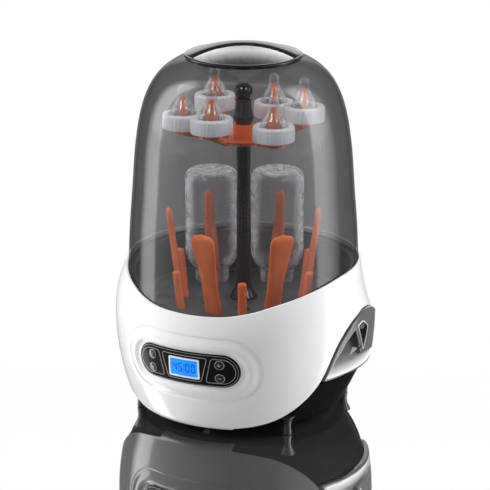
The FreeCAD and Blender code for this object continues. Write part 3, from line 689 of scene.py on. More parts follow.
def base_shell():
    angles = shell_angles()
    rows = 120
    vertices = []
    for i in range(rows):
        for a in angles:
            top = rim_height(a) - 1.2
            z = mix(BODY_BOTTOM, top, i / (rows - 1))
            radius = body_radius(z, a)
            x, y, _ = polar(radius, a)
            if y < 0 and abs(x) < 90:
                radius += dish(x, z)
            vertices.append(polar(radius, a, z))
    inside = [(-0.35, -0.4), (-1.1, 0.0), (-2.2, -0.1), (None, -0.9), (None, -2.4), (-3.0, -4.0), (-3.0, -20.0)]
    for step_in, below in inside:
        for a in angles:
            top = rim_height(a)
            lip = lookup(dome_by_height, top + below) + 0.3
            radius = lip if step_in is None else max(body_radius(top - 1.2, a) + step_in, lip)
            vertices.append(polar(radius, a, top + below))
    for i in range(14):
        for a in angles:
            top = rim_height(a) - 28.0
            z = mix(top, BODY_BOTTOM, (i + 1) / 14)
            vertices.append(polar(min(body_radius(z, a), BODY_RADIUS) - 3.0, a, z))
    total_rows = rows + len(inside) + 14
    shell = make_object("base_shell_skin", vertices, grid_faces(total_rows, len(angles), wrap_rows=True))
    arch = arch_outline() + [(133.0, -5.0), (-109.0, -5.0)]
    low, high = box_mm("filter_cover")
    inlet_low, inlet_high = box_mm("power_inlet")
    cutters = [
        prism_x("cut_right", arch, 40, 200),
        prism_x("cut_left", arch, -200, -40),
        prism_y("cut_panel", stadium_outline(39.5, 17.8, PANEL_Z), -170, -90),
        prism_y("cut_filter", rectangle(low.x - 0.3, high.x + 0.3, low.z - 0.3, high.z + 0.3, 2.0), 100, 170),
        prism_y("cut_inlet", rectangle(inlet_low.x - 0.3, inlet_high.x + 0.3,
                                       inlet_low.z - 0.3, inlet_high.z + 0.3, 2.0), 90, 170),
    ]
    cut_away(shell, cutters)
    return piece(shell, "base", "white", ["base_shell"])


# ---- Side grips -----------------------------------------------------------------------

def swell(angle):
    side = abs((angle + 180.0) % 360.0 - 180.0)
    if side < 62.0 or side > 158.0:
        return 0.0
    return 4.2 * math.sin(math.radians((side - 62.0) / 96.0 * 180.0)) ** 2


def resample(points, count):
    """Evenly spaced points around a closed outline."""
    closed = points + points[:1]
    lengths = [0.0]
    for a, b in zip(closed, closed[1:]):
        lengths.append(lengths[-1] + math.dist(a, b))
    result = []
    index = 0
    for i in range(count):
        target = lengths[-1] * i / count
        while lengths[index + 1] < target:
            index += 1
        part = (target - lengths[index]) / max(lengths[index + 1] - lengths[index], 1e-9)
        result.append((mix(closed[index][0], closed[index + 1][0], part),
                       mix(closed[index][1], closed[index + 1][1], part)))
    return result


def side_point(side, y, z, offset):
    """A point on the side of the body at (y, z), raised by the grip's swell and an offset."""
    radius = body_radius(z, 90.0)
    angle = math.degrees(math.atan2(math.sqrt(max(radius ** 2 - y ** 2, 1.0)), -y))
    radius = body_radius(z, angle) + swell(angle) + offset
    return (side * math.sqrt(max(radius ** 2 - y ** 2, 1.0)), y, z)


GRIP_FLOOR = grip_low.z + 0.4
GRIP_CENTRE = (4.0, 84.0)
SCOOP = [(-14.0, 104.5), (-1.5, 75.0), (30.0, 69.0), (66.0, 62.0), (60.0, 58.0), (-52.0, 58.5), (-43.0, 78.0), (-30.0, 94.0)]
HOLE = [(-9.5, 105.5), (2.0, 108.0), (12.0, 100.0), (3.0, 77.5)]


def grip_outline():
    leaf = [(y, z) for y, z in arch_outline(-0.5) if z > GRIP_FLOOR + 4]
    first, last = leaf[0], leaf[-1]
    corners = [leaf[-2], (last[0] + 2.5, GRIP_FLOOR, 4.0), (12.0, GRIP_FLOOR), (first[0] - 2.5, GRIP_FLOOR, 4.0), leaf[1]]
    floor_edge = rounded(corners, 3.0)
    return resample(leaf[1:-1] + floor_edge[1:-1], 260)


def inside_distance(polygon, y, z):
    """Distance to a polygon's edge, positive inside it."""
    nearest, inside = 1e9, False
    for (y0, z0), (y1, z1) in zip(polygon, polygon[1:] + polygon[:1]):
        dy, dz = y1 - y0, z1 - z0
        t = clamp(((y - y0) * dy + (z - z0) * dz) / (dy * dy + dz * dz))
        nearest = min(nearest, math.hypot(y - y0 - t * dy, z - z0 - t * dz))
        if (z0 > z) != (z1 > z) and y < y0 + (z - z0) * dy / dz:
            inside = not inside
    return nearest if inside else -nearest


def grip_depth(y, z, inset):
    """Rolled edge, broad flat rim and a tapering scoop that is deepest at its top."""
    roll = -1.6 * (1 - math.sqrt(max(0.0, 1 - (1 - clamp(inset / 1.6)) ** 2)))
    deep = mix(2.2, 8.0, ease((z - 60.0) / 36.0))
    fall = ease(inside_distance(SCOOP, y, z) / 2.6)
    return roll - deep * fall


def toward_centre(y, z, inset):
    cy, cz = GRIP_CENTRE
    reach = math.hypot(y - cy, z - cz)
    keep = max(reach - inset, reach * 0.03) / reach
    return cy + (y - cy) * keep, cz + (z - cz) * keep


def gap_width(y):
    """The seam around the insert is wide along its front edge and fine elsewhere."""
    return mix(0.5, 2.6, ease((-y - 2.0) / 26.0))


def side_grip(side, name, node):
    outline = [toward_centre(y, z, gap_width(y)) for y, z in grip_outline()]
    cy, cz = GRIP_CENTRE
    insets = [0.0, 0.2, 0.5, 0.9, 1.6, 2.4] + [2.4 + 1.1 * i for i in range(1, 36)]
    vertices = []
    for inset in insets:
        for y, z in outline:
            py, pz = toward_centre(y, z, inset)
            vertices.append(side_point(side, py, pz, grip_depth(py, pz, inset)))
    n = len(outline)
    rows = len(insets)
    vertices.append(side_point(side, cy, cz, grip_depth(cy, cz, 40.0)))
    top = len(vertices) - 1
    faces = grid_faces(rows, n)
    faces += [((rows - 1) * n + i, (rows - 1) * n + (i + 1) % n, top) for i in range(n)]
    back = len(vertices)
    for y, z in outline:
        vertices.append(side_point(side, y, z, -5.0))
    faces += [(i, back + i, back + (i + 1) % n, (i + 1) % n) for i in range(n)]
    vertices.append(side_point(side, cy, cz, -16.0))
    faces += [(back + i, back + n, back + (i + 1) % n) for i in range(n)]
    grip = make_object(name, vertices, faces, 50.0)
    piece(grip, "base", "grip", [node])


def grip_scoop(side, name):
    """Skin on the floor of the scoop and the fine pale line along its front edge, which is a painted highlight on that
    edge.
    """
    middle = (-14.0, 71.0)
    outline = resample(SCOOP, 150)
    n = len(outline)
    vertices = []
    factors = [0.95 - 0.9 * i / 18 for i in range(19)]
    for lift in (0.18, -0.3):
        for factor in factors if lift > 0 else factors[::-1]:
            for y, z in outline:
                py, pz = middle[0] + (y - middle[0]) * factor, middle[1] + (z - middle[1]) * factor
                vertices.append(side_point(side, py, pz, grip_depth(py, pz, 9.0) + lift))
    skin = make_object(name, vertices, grid_faces(38, n, wrap_rows=True), 50.0)
    piece(skin, "base", "scoop")
    path = resample([SCOOP[5], SCOOP[6], SCOOP[7], SCOOP[0]] + [SCOOP[7], SCOOP[6]], 160)[:80]
    vertices = []
    for y, z in path:
        for step, lift in ((-0.5, -0.4), (-0.4, 0.35), (0.3, 0.35), (0.5, -0.8)):
            vertices.append(side_point(side, y + step - 0.6, z, lift))
    line = make_object(name + "_edge", vertices, grid_faces(len(path), 4) + [(0, 1, 2, 3), tuple(range(319, 315, -1))])
    # Painted highlight: the pale line stands in for light caught along the scoop's front edge.
    piece(line, "base", "pale_highlight_edge")


def grip_seam(side, name):
    """Black liner behind the insert that closes the seam around it; its black is painted shadow in the seam."""
    outline = grip_outline()
    cy, cz = GRIP_CENTRE
    n = len(outline)
    vertices = []
    for inset, offset in ((0.0, -2.6), (3.0, -3.2), (8.0, -4.0), (8.0, -4.6), (0.0, -4.4)):
        vertices += [side_point(side, *toward_centre(y, z, inset), offset - swell(70 if y < 0 else 110)) for y, z in outline]
    liner = make_object(name, vertices, grid_faces(5, n, wrap_rows=True))
    # Painted shadow: the near-black liner stands for the shade in the gap around the insert.
    piece(liner, "base", "underside")


def grip_hole(side, name):
    """Three-cornered finger hole: a pale frame of painted highlight along its rim, around a shallow black pocket of
    painted shade for the hole's depth.
    """
    centre = (1.5, 97.0)
    corners = [(-3.5, 107.0)] + HOLE[1:] + [HOLE[0], (-3.5, 107.0)]
    outline = resample(rounded(corners, 3.0)[:-1], 60)

    def line(factor, lift):
        points = [(centre[0] + (y - centre[0]) * factor, centre[1] + (z - centre[1]) * factor) for y, z in outline]
        return [side_point(side, y, z, lift) for y, z in points]

    n = len(outline)
    vertices = []
    for factor, lift in ((1.1, -0.8), (1.1, 0.3), (1.06, 0.6), (1.0, 0.6), (0.97, 0.3), (0.97, -0.8)):
        vertices += line(factor, lift)
    rim = make_object(name + "_frame", vertices, grid_faces(6, n, wrap_rows=True))
    # Painted highlight: the pale frame stands in for light caught along the hole's rim.
    piece(rim, "base", "pale_highlight_edge")
    vertices = line(0.98, 0.25) + line(0.98, -0.6) + line(0.4, -0.6)
    faces = grid_faces(3, n)
    vertices += [side_point(side, *centre, 0.25), side_point(side, *centre, -0.6)]
    faces += [(i, 3 * n, (i + 1) % n) for i in range(n)]
    faces += [(2 * n + i, 2 * n + (i + 1) % n, 3 * n + 1) for i in range(n)]
    dark = make_object(name + "_pocket", vertices, faces)
    # Painted shade: the black pocket stands in for the shade inside the hole.
    piece(dark, "base", "underside")


# ---- Feet -------------------------------------------------------------------------------

def feet():
    low, high = box_mm("feet")
    spread_x, spread_y = high.x - 9.5, high.y - 9.5
    made = []
    for x in (-spread_x, spread_x):
        for y in (-spread_y, spread_y):
            profile = rounded([(0.0, 0.0), (4.9, 0.0, 0.8), (5.0, 1.6), (4.2, 9.0, 2.0), (5.4, 14.0, 2.0),
                               (8.6, 20.5, 1.0), (0.0, 20.6)], 0.6)
            made.append(lathe("foot", profile, 40, (x, y)))
    piece(joined("round_feet", made), "base", "rubber", ["feet"])


# ---- Control panel ------------------------------------------------------------------------

PANEL_STRAIGHT = 39.5
PANEL_DEPTH = -1.1


def panel_plate():
    """Black oblong plate, slightly crowned, with a softly rounded edge."""
    half, tall = PANEL_STRAIGHT + 17.45, 17.45
    columns = [half * math.sin(math.pi / 2 * mix(-1, 1, i / 96)) for i in range(97)]
    columns = [clamp(x, -half + 0.02, half - 0.02) for x in columns]
    rows = [math.sin(math.pi / 2 * mix(-1, 1, j / 28)) for j in range(29)]
    vertices = []
    for front in (True, False):
        for x in columns:
            reach = math.sqrt(max(tall ** 2 - max(abs(x) - PANEL_STRAIGHT, 0.0) ** 2, 0.0))
            for row in rows:
                z = PANEL_Z + reach * row
                edge = clamp((tall - stadium_distance(x, z, PANEL_STRAIGHT)) / 0.9)
                lift = 0.25 - 0.8 * (1 - math.sqrt(1 - (1 - edge) ** 2)) if front else -4.0
                vertices.append(panel_point(x, z, PANEL_DEPTH + lift))
    across, along = len(rows), len(columns)
    size = across * along
    faces = grid_faces(along, across, wrap_columns=False)
    faces += [tuple(size + v for v in reversed(face)) for face in grid_faces(along, across, wrap_columns=False)]
    rim = list(range(across)) + [i * across + across - 1 for i in range(1, along)]
    rim += [(along - 1) * across + j for j in range(across - 2, -1, -1)] + [i * across for i in range(along - 2, 0, -1)]
    faces += [(p, q, size + q, size + p) for p, q in zip(rim, rim[1:] + rim[:1])]
    plate = make_object("panel_plate", vertices, faces, 50.0)
    cutters = [prism_y("cut_window", rectangle(-17.4, 17.4, PANEL_Z - 10.9, PANEL_Z + 10.9, 1.5), -170, -100)]
    for x, z in button_places().values():
        ring = [(x + 5.5 * math.cos(math.pi * i / 24), z + 5.5 * math.sin(math.pi * i / 24)) for i in range(48)]
        cutters.append(prism_y("cut_button", ring, -171.3, -100.7))
    cut_away(plate, cutters)
    piece(plate, "base", "panel", ["panel_bezel"])


def strip_on_panel(name, outline, width, lift, body="base", key="line", replaces=()):
    """Thin raised line along a closed outline on the panel."""
    points = resample(outline, max(60, len(outline)))
    n = len(points)
    vertices = []
    for i, (x, z) in enumerate(points):
        x0, z0 = points[i - 1]
        x1, z1 = points[(i + 1) % n]
        along = Vector((x1 - x0, z1 - z0)).normalized()
        across = Vector((-along.y, along.x)) * width / 2
        for side, height in ((-1, -0.15), (-1, lift), (1, lift), (1, -0.15)):
            vertices.append(panel_point(x + across.x * side, z + across.y * side, PANEL_DEPTH + 0.25 + height))
    faces = []
    for i in range(n):
        j = (i + 1) % n
        for k in range(4):
            faces.append((4 * i + k, 4 * j + k, 4 * j + (k + 1) % 4, 4 * i + (k + 1) % 4))
    strip = make_object(name, vertices, faces)
    return piece(strip, body, key, replaces)


def panel_lines():
    """Fine printed outlines around the display and around each pair of buttons."""
    top, bottom = PANEL_Z + 13.2, PANEL_Z - 12.8
    centre = rounded([(0, top), (25.5, top), (18.6, bottom), (-18.6, bottom), (-25.5, top), (0, top)], 2.6, 6)[:-1]
    strip_on_panel("display_outline", centre, 0.55, 0.06)
    for side, name in ((-1, "left_keys_outline"), (1, "right_keys_outline")):
        arc = [(side * (40.0 + 13.2 * math.cos(a)), PANEL_Z + 13.2 * math.sin(a))
               for a in [math.radians(80 - 160 * i / 24) for i in range(25)]]
        corners = [(side * 36.0, top)] + [(side * 29.5, top, 3.0), (side * 23.5, bottom, 3.0), (side * 36.0, bottom)]
        left = rounded(corners, 3.0, 6)
        strip_on_panel(name, arc + left[::-1], 0.55, 0.06)
    rim = stadium_outline(PANEL_STRAIGHT, 16.3, PANEL_Z, 30)
    strip_on_panel("panel_edge_line", rim, 0.35, 0.03)


def display():
    """Blue display with a white frame and plain clock digits."""
    half_x, half_z = 17.2, 10.7
    outer = rectangle(-half_x, half_x, PANEL_Z - half_z, PANEL_Z + half_z, 1.4)
    inner = rectangle(-half_x + 1.7, half_x - 1.7, PANEL_Z - half_z + 1.7, PANEL_Z + half_z - 1.7, 0.8)
    count = 96
    a, b = resample(outer, count), resample(inner, count)
    rows = [(a, -0.6), (a, 0.35), (b, 0.35), (b, -0.6)]
    vertices = [panel_point(x, z, PANEL_DEPTH + lift) for line, lift in rows for x, z in line]
    bezel = make_object("display_frame", vertices, grid_faces(4, count, wrap_rows=True))
    piece(bezel, "base", "frame")
    nx, nz = 25, 17
    vertices = []
    for level in (-0.15, -0.9):
        for j in range(nz):
            for i in range(nx):
                x = mix(-half_x + 1.2, half_x - 1.2, i / (nx - 1))
                z = PANEL_Z + mix(-half_z + 1.2, half_z - 1.2, j / (nz - 1))
                vertices.append(panel_point(x, z, PANEL_DEPTH + level))
    size = nx * nz
    faces = grid_faces(nz, nx, wrap_columns=False)
    faces += [tuple(size + v for v in reversed(f)) for f in grid_faces(nz, nx, wrap_columns=False)]
    edge = [i for i in range(nx)] + [j * nx + nx - 1 for j in range(1, nz)]
    edge += [(nz - 1) * nx + i for i in range(nx - 2, -1, -1)] + [j * nx for j in range(nz - 2, 0, -1)]
    for p, q in zip(edge, edge[1:] + edge[:1]):
        faces.append((p, q, size + q, size + p))
    screen = make_object("display_screen", vertices, faces)
    piece(screen, "base", "display", ["display_window"])
    digits()


SEGMENTS = {"4": "bcfg", "5": "acdfg", "0": "abcdef"}


def segment_boxes(glyph, x, z, width, height):
    """Corner pairs of the lit bars of one seven-segment digit."""
    t = 1.15
    middle = z + height / 2
    bars = {
        "a": (x + 0.8, x + width - 0.8, z + height - t, z + height),
        "b": (x + width - t, x + width, middle + 0.4, z + height - 0.8),
        "c": (x + width - t, x + width, z + 0.8, middle - 0.4),
        "d": (x + 0.8, x + width - 0.8, z, z + t),
        "e": (x, x + t, z + 0.8, middle - 0.4),
        "f": (x, x + t, middle + 0.4, z + height - 0.8),
        "g": (x + 0.8, x + width - 0.8, middle - t / 2, middle + t / 2),
    }
    return [bars[s] for s in SEGMENTS[glyph]]


def digits():
    width, height = 4.6, 9.6
    boxes = []
    for glyph, x in zip("4500", (-12.6, -6.4, 1.8, 8.0)):
        boxes += segment_boxes(glyph, x, PANEL_Z - height / 2, width, height)
    boxes += [(-0.6, 0.6, PANEL_Z + dz - 0.7, PANEL_Z + dz + 0.7) for dz in (-2.2, 2.2)]
    parts = []
    for x0, x1, z0, z1 in boxes:
        outline = rectangle(x0, x1, z0, z1, 0.35)
        n = len(outline)
        low = [panel_point(x, z, PANEL_DEPTH - 0.25) for x, z in outline]
        high = [panel_point(x, z, PANEL_DEPTH - 0.08) for x, z in outline]
        faces = [tuple(range(n)), tuple(range(2 * n - 1, n - 1, -1))]
        faces += [(i, (i + 1) % n, n + (i + 1) % n, n + i) for i in range(n)]
        parts.append(make_object("bar", low + high, faces))
    piece(joined("display_digits", parts), "base", "digit")


def button_places():
    return {
        "button_power": (-38.0, PANEL_Z + 7.2),
        "button_mode": (-38.0, PANEL_Z - 7.2),
        "button_plus": (38.0, PANEL_Z + 7.2),
        "button_minus": (38.0, PANEL_Z - 7.2),
    }


def bar_icon(x, z, half_x, half_z):
    return rectangle(x - half_x, x + half_x, z - half_z, z + half_z, min(half_x, half_z) * 0.6)


def button(name, x, z):
    """Domed glossy key with a fine ring and a plain raised mark."""
    body = {"button_power": "power_key", "button_mode": "mode_key",
            "button_plus": "plus_key", "button_minus": "minus_key"}[name]
    rings = [(4.6, -5.5), (5.1, -5.0), (5.15, 0.1), (5.05, 0.6), (4.8, 0.9), (4.2, 1.15), (3.0, 1.4), (1.5, 1.55), (0.2, 1.6)]
    count = 48
    vertices = []
    for radius, lift in rings:
        for i in range(count):
            a = 2 * math.pi * i / count
            vertices.append(panel_point(x + radius * math.cos(a), z + radius * math.sin(a), PANEL_DEPTH - 0.2 + lift))
    faces = grid_faces(len(rings), count)
    faces.append(tuple(range(count)))
    faces.append(tuple((len(rings) - 1) * count + i for i in range(count - 1, -1, -1)))
    cap = make_object(name + "_cap", vertices, faces, 60.0)
    piece(cap, body, "black", [name])
    ring_rows = [(4.75, 0.85), (4.72, 1.02), (4.3, 1.16), (4.3, 0.95)]
    vertices = []
    for radius, lift in ring_rows:
        for i in range(count):
            a = 2 * math.pi * i / count
            vertices.append(panel_point(x + radius * math.cos(a), z + radius * math.sin(a), PANEL_DEPTH - 0.2 + lift))
    ring = make_object(name + "_ring", vertices, grid_faces(4, count, wrap_rows=True))
    piece(ring, body, "line")
    marks = {
        "button_power": [bar_icon(x, z + 1.0, 0.35, 1.3)],
        "button_mode": [bar_icon(x, z + 1.1, 1.5, 0.3), bar_icon(x, z, 1.5, 0.3), bar_icon(x, z - 1.1, 1.5, 0.3)],
        "button_plus": [bar_icon(x, z, 1.7, 0.35), bar_icon(x, z, 0.35, 1.7)],
        "button_minus": [bar_icon(x, z, 1.7, 0.35)],
    }[name]
    parts = []
    for outline in marks:
        n = len(outline)
        low = [panel_point(u, v, PANEL_DEPTH + 1.1) for u, v in outline]
        high = [panel_point(u, v, PANEL_DEPTH + 1.52) for u, v in outline]
        faces = [tuple(range(n)), tuple(range(2 * n - 1, n - 1, -1))]
        faces += [(i, (i + 1) % n, n + (i + 1) % n, n + i) for i in range(n)]
        parts.append(make_object("mark", low + high, faces))
    piece(joined(name + "_mark", parts), body, "line")


# ---- Lid --------------------------------------------------------------------------------

def dome_point(s, angle, inset):
    """Point of the dome: s runs from 0 at its foot to 1 at its opening."""
    foot = rim_height(angle) - 4.5
    split = 250.0
    if s < 0.4:
        z = mix(foot, split, s / 0.4)
        return polar(lookup(dome_by_height, z) - inset, angle, z)
    upper = [(r, z) for r, z in dome_curve if z > split and r > OPENING_RADIUS]
    upper = [(lookup(dome_by_height, split), split)] + upper
    position = (s - 0.4) / 0.6 * (len(upper) - 1)
    i = min(int(position), len(upper) - 2)
    r = mix(upper[i][0], upper[i + 1][0], position - i)
    z = mix(upper[i][1], upper[i + 1][1], position - i)
    lean = clamp((z - 280.0) / 104.0)
    return polar(r - inset * (1 - 0.5 * lean ** 2), angle, z - inset * lean)


def lid_dome():
    segments, rows = 160, 64
    angles = [360.0 * i / segments for i in range(segments)]
    vertices = [dome_point(i / (rows - 1), a, 0.0) for i in range(rows) for a in angles]
    vertices += [dome_point(1 - i / (rows - 1), a, 2.2) for i in range(rows) for a in angles]
    dome = make_object("smoked_dome", vertices, grid_faces(2 * rows, segments, wrap_rows=True), 60.0)
    dome.visible_shadow = False
    piece(dome, "lid", "smoked", ["lid_dome"])


def handle_bowl():
    """Bowl sunk in the crown and the black trim ring around its edge."""
    floor, top = cup_low.z, cup_high.z
    r = OPENING_RADIUS
    corners = [(0.0, floor), (34.0, floor, 8.0), (r - 3.5, top - 8.0, 5.0), (r - 0.6, top - 4.0), (r - 0.6, top - 1.4),
               (r - 2.6, top - 2.2), (r - 5.6, top - 7.2, 5.0), (33.0, floor + 2.0, 8.0), (0.0, floor + 2.0)]
    bowl = lathe("handle_bowl", rounded(corners, 1.0, 6), 128)
    piece(bowl, "lid", "bowl", ["handle_cup"])
    ring = rounded([(r - 0.4, top - 5.0), (r - 0.4, top - 1.6), (r + 2.4, top - 2.4), (r + 2.8, top - 1.2, 0.6),
                    (r + 0.4, top + 0.0, 0.8), (r - 2.0, top - 0.4, 0.6), (r - 2.2, top - 2.4), (r - 0.4, top - 5.0)], 0.3, 4)
    trim = lathe("lid_trim_ring", ring[:-1], 160)
    piece(trim, "lid", "black")


HANDLE_TURN = 27.0


def lid_handle():
    """Arched bridge with a rounded section, narrow in the middle and wide where it meets the ring."""
    reach = OPENING_RADIUS + 0.8
    crown = handle_high.z
    columns, around = 84, 28
    vertices = []
    for i in range(columns + 1):
        u = mix(-1, 1, i / columns)
        end = abs(u)
        half = min(mix(8.0, 23.0, end ** 2), math.sqrt(max(reach ** 2 - (u * reach) ** 2, 1.0)) + 1.5)
        thick = mix(3.6, 4.6, end)
        arch = crown - 12.6 * end ** 2.1
        for k in range(around):
            a = 2 * math.pi * k / around
            c, s = math.cos(a), math.sin(a)
            y = half * math.copysign(abs(c) ** 0.35, c)
            z = math.copysign(abs(s) ** 0.8, s) * thick / 2
            vertices.append((u * reach, y, arch - thick / 2 + z - 1.5 * (y / 22.0) ** 2))
    faces = grid_faces(columns + 1, around)
    faces.append(tuple(range(around)))
    faces.append(tuple(columns * around + k for k in range(around - 1, -1, -1)))
    handle = turned(make_object("lid_handle_bridge", vertices, faces, 60.0), HANDLE_TURN)
    piece(handle, "lid", "black", ["lid_handle"])


# ---- Rack, prongs and bottles ----------------------------------------------------------------

def leaning(obj, angle, lean, foot):
    """Tip an upright shape outwards about its foot, then turn it to its station."""
    pivot = Vector((0, -foot, PRONG_BASE)) * MM
    tip = Matrix.Translation(pivot) @ Matrix.Rotation(math.radians(lean), 4, "X") @ Matrix.Translation(-pivot)
    moved(obj, tip)
    return turned(obj, angle)


def prong_blade(name, foot, height, widths, thickness, hook=0.0, rows=30, around=24):
    """Tapering tongue with a rounded section and tip; hook bends it sideways and out near its top."""
    vertices = []
    for i in range(rows + 1):
        t = i / rows
        z = PRONG_BASE - 2.0 + t * (height + 2.0)
        width = lookup(widths, t)
        tip = math.sqrt(max(0.0, 1 - clamp((t - 0.93) / 0.07) ** 2)) if t > 0.93 else 1.0
        shift = hook * ease((t - 0.35) / 0.65)
        for k in range(around):
            a = 2 * math.pi * k / around
            c, s = math.cos(a), math.sin(a)
            x = width / 2 * tip * math.copysign(abs(c) ** 0.75, c) + shift
            y = thickness / 2 * max(tip, 0.25) * math.copysign(abs(s) ** 0.75, s)
            curl = -abs(hook) * 0.25 * ease((t - 0.5) / 0.5) * (x / 10.0) ** 2 * 0.3
            vertices.append((x, -foot + y + curl, z))
    faces = []
    for i in range(rows):
        for k in range(around):
            k1 = (k + 1) % around
            faces.append((i * around + k, i * around + k1, (i + 1) * around + k1, (i + 1) * around + k))
    faces.append(tuple(range(around)))
    faces.append(tuple(rows * around + k for k in range(around - 1, -1, -1)))
    return make_object(name, vertices, faces, 60.0)


def prong_fin(foot, height, depth, thickness=3.6):
    """Curved stiffener that rises along the inner side of a prong."""
    outline = [(0.0, -1.0)] + [(depth * (1 - t) ** 0.8 + 1.0, -1.0 + t * height) for t in [i / 12 for i in range(13)]]
    outline.append((0.0, height))
    vertices = []
    n = len(outline)
    for x in (-thickness / 2, thickness / 2):
        vertices += [(x, -foot + d, PRONG_BASE + z) for d, z in outline]
    faces = [tuple(range(n)), tuple(range(2 * n - 1, n - 1, -1))]
    faces += [(i, (i + 1) % n, n + (i + 1) % n, n + i) for i in range(n)]
    return make_object("fin", vertices, faces)


def prongs():
    angles = stations()
    broad, tall, pegs = [], [], []
    for index, angle in enumerate(angles[:2]):
        hook = -2.0 if index == 0 else 2.0
        blade = prong_blade("blade", 60.0, 90.0, [(0, 19.0), (0.35, 18.0), (0.55, 19.5), (0.78, 25.0), (0.9, 26.5), (1, 25.0)], 7.0, hook)
        broad.append(leaning(blade, angle, 12.0, 60.0))
        broad.append(leaning(prong_fin(60.0, 60.0, 13.0), angle, 12.0, 60.0))
    for angle in angles[2:]:
        blade = prong_blade("blade", 66.0, 99.0, [(0, 16.5), (0.4, 15.0), (0.75, 11.0), (1, 8.5)], 6.5)
        tall.append(leaning(blade, angle, 7.0, 66.0))
        tall.append(leaning(prong_fin(66.0, 74.0, 8.0), angle, 7.0, 66.0))
    for angle in angles:
        peg = prong_blade("peg", 74.0, 41.5, [(0, 9.4), (1, 9.0)], 7.6)
        pegs.append(leaning(peg, angle + 30, 7.0, 74.0))
    piece(joined("broad_prong_pair", broad), "rack", "orange", ["broad_prongs"])
    piece(joined("tall_prong_set", tall), "rack", "orange", ["tall_prongs"])
    piece(joined("short_peg_set", pegs), "rack", "orange", ["short_pegs"])


def bottle_shell(centre):
    """Upside-down bottle: threaded neck, rounded shoulder, slightly waisted wall and domed end."""
    z = bottle_low.z
    top = bottle_high.z
    r = 28.4
    outer = rounded([(17.4, z), (17.4, z + 13.0, 1.5), (24.0, z + 19.0, 6.0), (r, z + 30.0, 8.0), (r - 0.6, (z + top) / 2, 20.0),
                     (r, top - 12.0, 6.0), (r - 1.0, top - 4.0, 3.0), (r - 5.0, top, 3.0), (r - 9.0, top - 0.4, 2.0),
                     (0.0, top - 3.5)], 2.0, 6)
    inner = rounded([(0.0, top - 5.5), (r - 9.0, top - 2.6, 3.0), (r - 3.6, top - 5.0, 3.0), (r - 2.0, top - 12.0, 4.0),
                     (r - 2.6, (z + top) / 2, 20.0), (r - 2.0, z + 30.5, 8.0), (22.0, z + 20.0, 6.0), (15.4, z + 13.6, 1.5),
                     (15.4, z)], 2.0, 6)
    body = lathe("body", outer + inner, 72, centre, 50.0)
    return body


def bottle_details(centre, angle):
    """Neck threads and small measuring ticks."""
    z = bottle_low.z
    made = []
    for level in (2.5, 6.0, 9.5):
        ring = [(17.3 + 1.0 * math.cos(a), z + level + 0.8 * math.sin(a)) for a in [2 * math.pi * i / 8 for i in range(8)]]
        made.append(lathe("thread", ring, 60, centre))
    facing = math.radians(angle)
    for i in range(8):
        level = z + 38.0 + 8.5 * i
        width = 9.0 if i % 2 == 0 else 5.5
        steps = 6
        vertices = []
        for radius in (28.3, 28.65):
            for dz in (-0.35, 0.35):
                for k in range(steps + 1):
                    a = facing + (k / steps - 0.5) * width / 28.0
                    vertices.append((centre[0] + radius * math.sin(a), centre[1] - radius * math.cos(a), level + dz))
        n = steps + 1
        faces = []
        for k in range(steps):
            faces += [(k, k + 1, n + k + 1, n + k), (2 * n + k, 3 * n + k, 3 * n + k + 1, 2 * n + k + 1),
                      (k, 2 * n + k, 2 * n + k + 1, k + 1), (n + k, n + k + 1, 3 * n + k + 1, 3 * n + k)]
        faces += [(0, n, 3 * n, 2 * n), (n - 1, 3 * n - 1, 4 * n - 1, 2 * n - 1)]
        made.append(make_object("tick", vertices, faces))
    return made


def bottles():
    shells, marks = [], []
    for index in (3, 4):
        centre = polar(70.0, stations()[index])[:2]
        shells.append(bottle_shell(centre))
        marks += bottle_details(centre, 27.0 + 38.0)
    piece(joined("bottle_pair", shells), "rack", "bottle", ["bottles"])
    piece(joined("bottle_marks", marks), "rack", "teat")


# ---- Column, tray, collars and teats ------------------------------------------------------------

def column():
    z = column_low.z + 3.2
    top = tray_low.z - 0.1
    profile = rounded([(0.0, z), (15.0, z, 1.0), (14.4, z + 2.0, 1.0), (9.0, z + 11.0, 6.0), (7.2, z + 19.0, 8.0), (7.2, top, 0.6),
                       (4.9, top, 0.3), (4.9, top + 17.0, 0.5), (0.0, top + 17.0)], 0.5, 6)
    piece(lathe("column_post", profile, 64), "tray", "black", ["centre_column"])
    base = knob_low.z
    height = knob_high.z
    body = rounded([(0.0, base), (8.4, base, 0.8), (10.9, base + 7.0, 3.0), (9.3, base + 12.0, 3.0), (8.0, base + 24.0, 2.0),
                    (9.6, base + 25.6, 0.8), (8.2, base + 26.6, 0.6), (0.0, base + 26.6)], 0.6, 6)
    neck = lathe("knob_body", body, 64)
    centre_z = height - 9.6
    ball = [(9.4 * math.cos(a), centre_z + 9.4 * math.sin(a)) for a in [math.radians(-55 + 145 * i / 20) for i in range(21)]]
    ball = [(0.0, ball[0][1])] + ball[:-1] + [(0.0, ball[-1][1])]
    piece(joined("column_knob_body", [neck, lathe("knob_ball", ball, 64)]), "tray", "black", ["column_knob"])


def seat_heights():
    return [tray_low.z + 14.0 + (8.0 if i % 2 == 0 else 0.0) for i in range(6)]


def collar_at(z):
    """Ribbed screw collar with a rounded top edge."""
    ribs, per_rib = 36, 4
    segments = ribs * per_rib
    rows = [(19.6, 0.0, 0), (21.0, 0.0, 0), (21.4, 0.6, 1), (21.4, 12.6, 1), (21.0, 14.2, 0.3), (20.2, 15.0, 0),
            (14.6, 15.0, 0), (13.8, 14.6, 0), (13.8, 13.2, 0), (19.4, 13.0, 0)]
    vertices = []
    for radius, height, rib in rows:
        for i in range(segments):
            wave = 0.45 * rib * (1 if i % per_rib in (0, 1) else 0)
            a = 2 * math.pi * i / segments
            r = radius - 0.45 * rib + wave
            vertices.append((r * math.sin(a), -62.0 - r * math.cos(a), z + height))
    return make_object("collar", vertices, grid_faces(len(rows), segments, wrap_rows=True), 40.0)


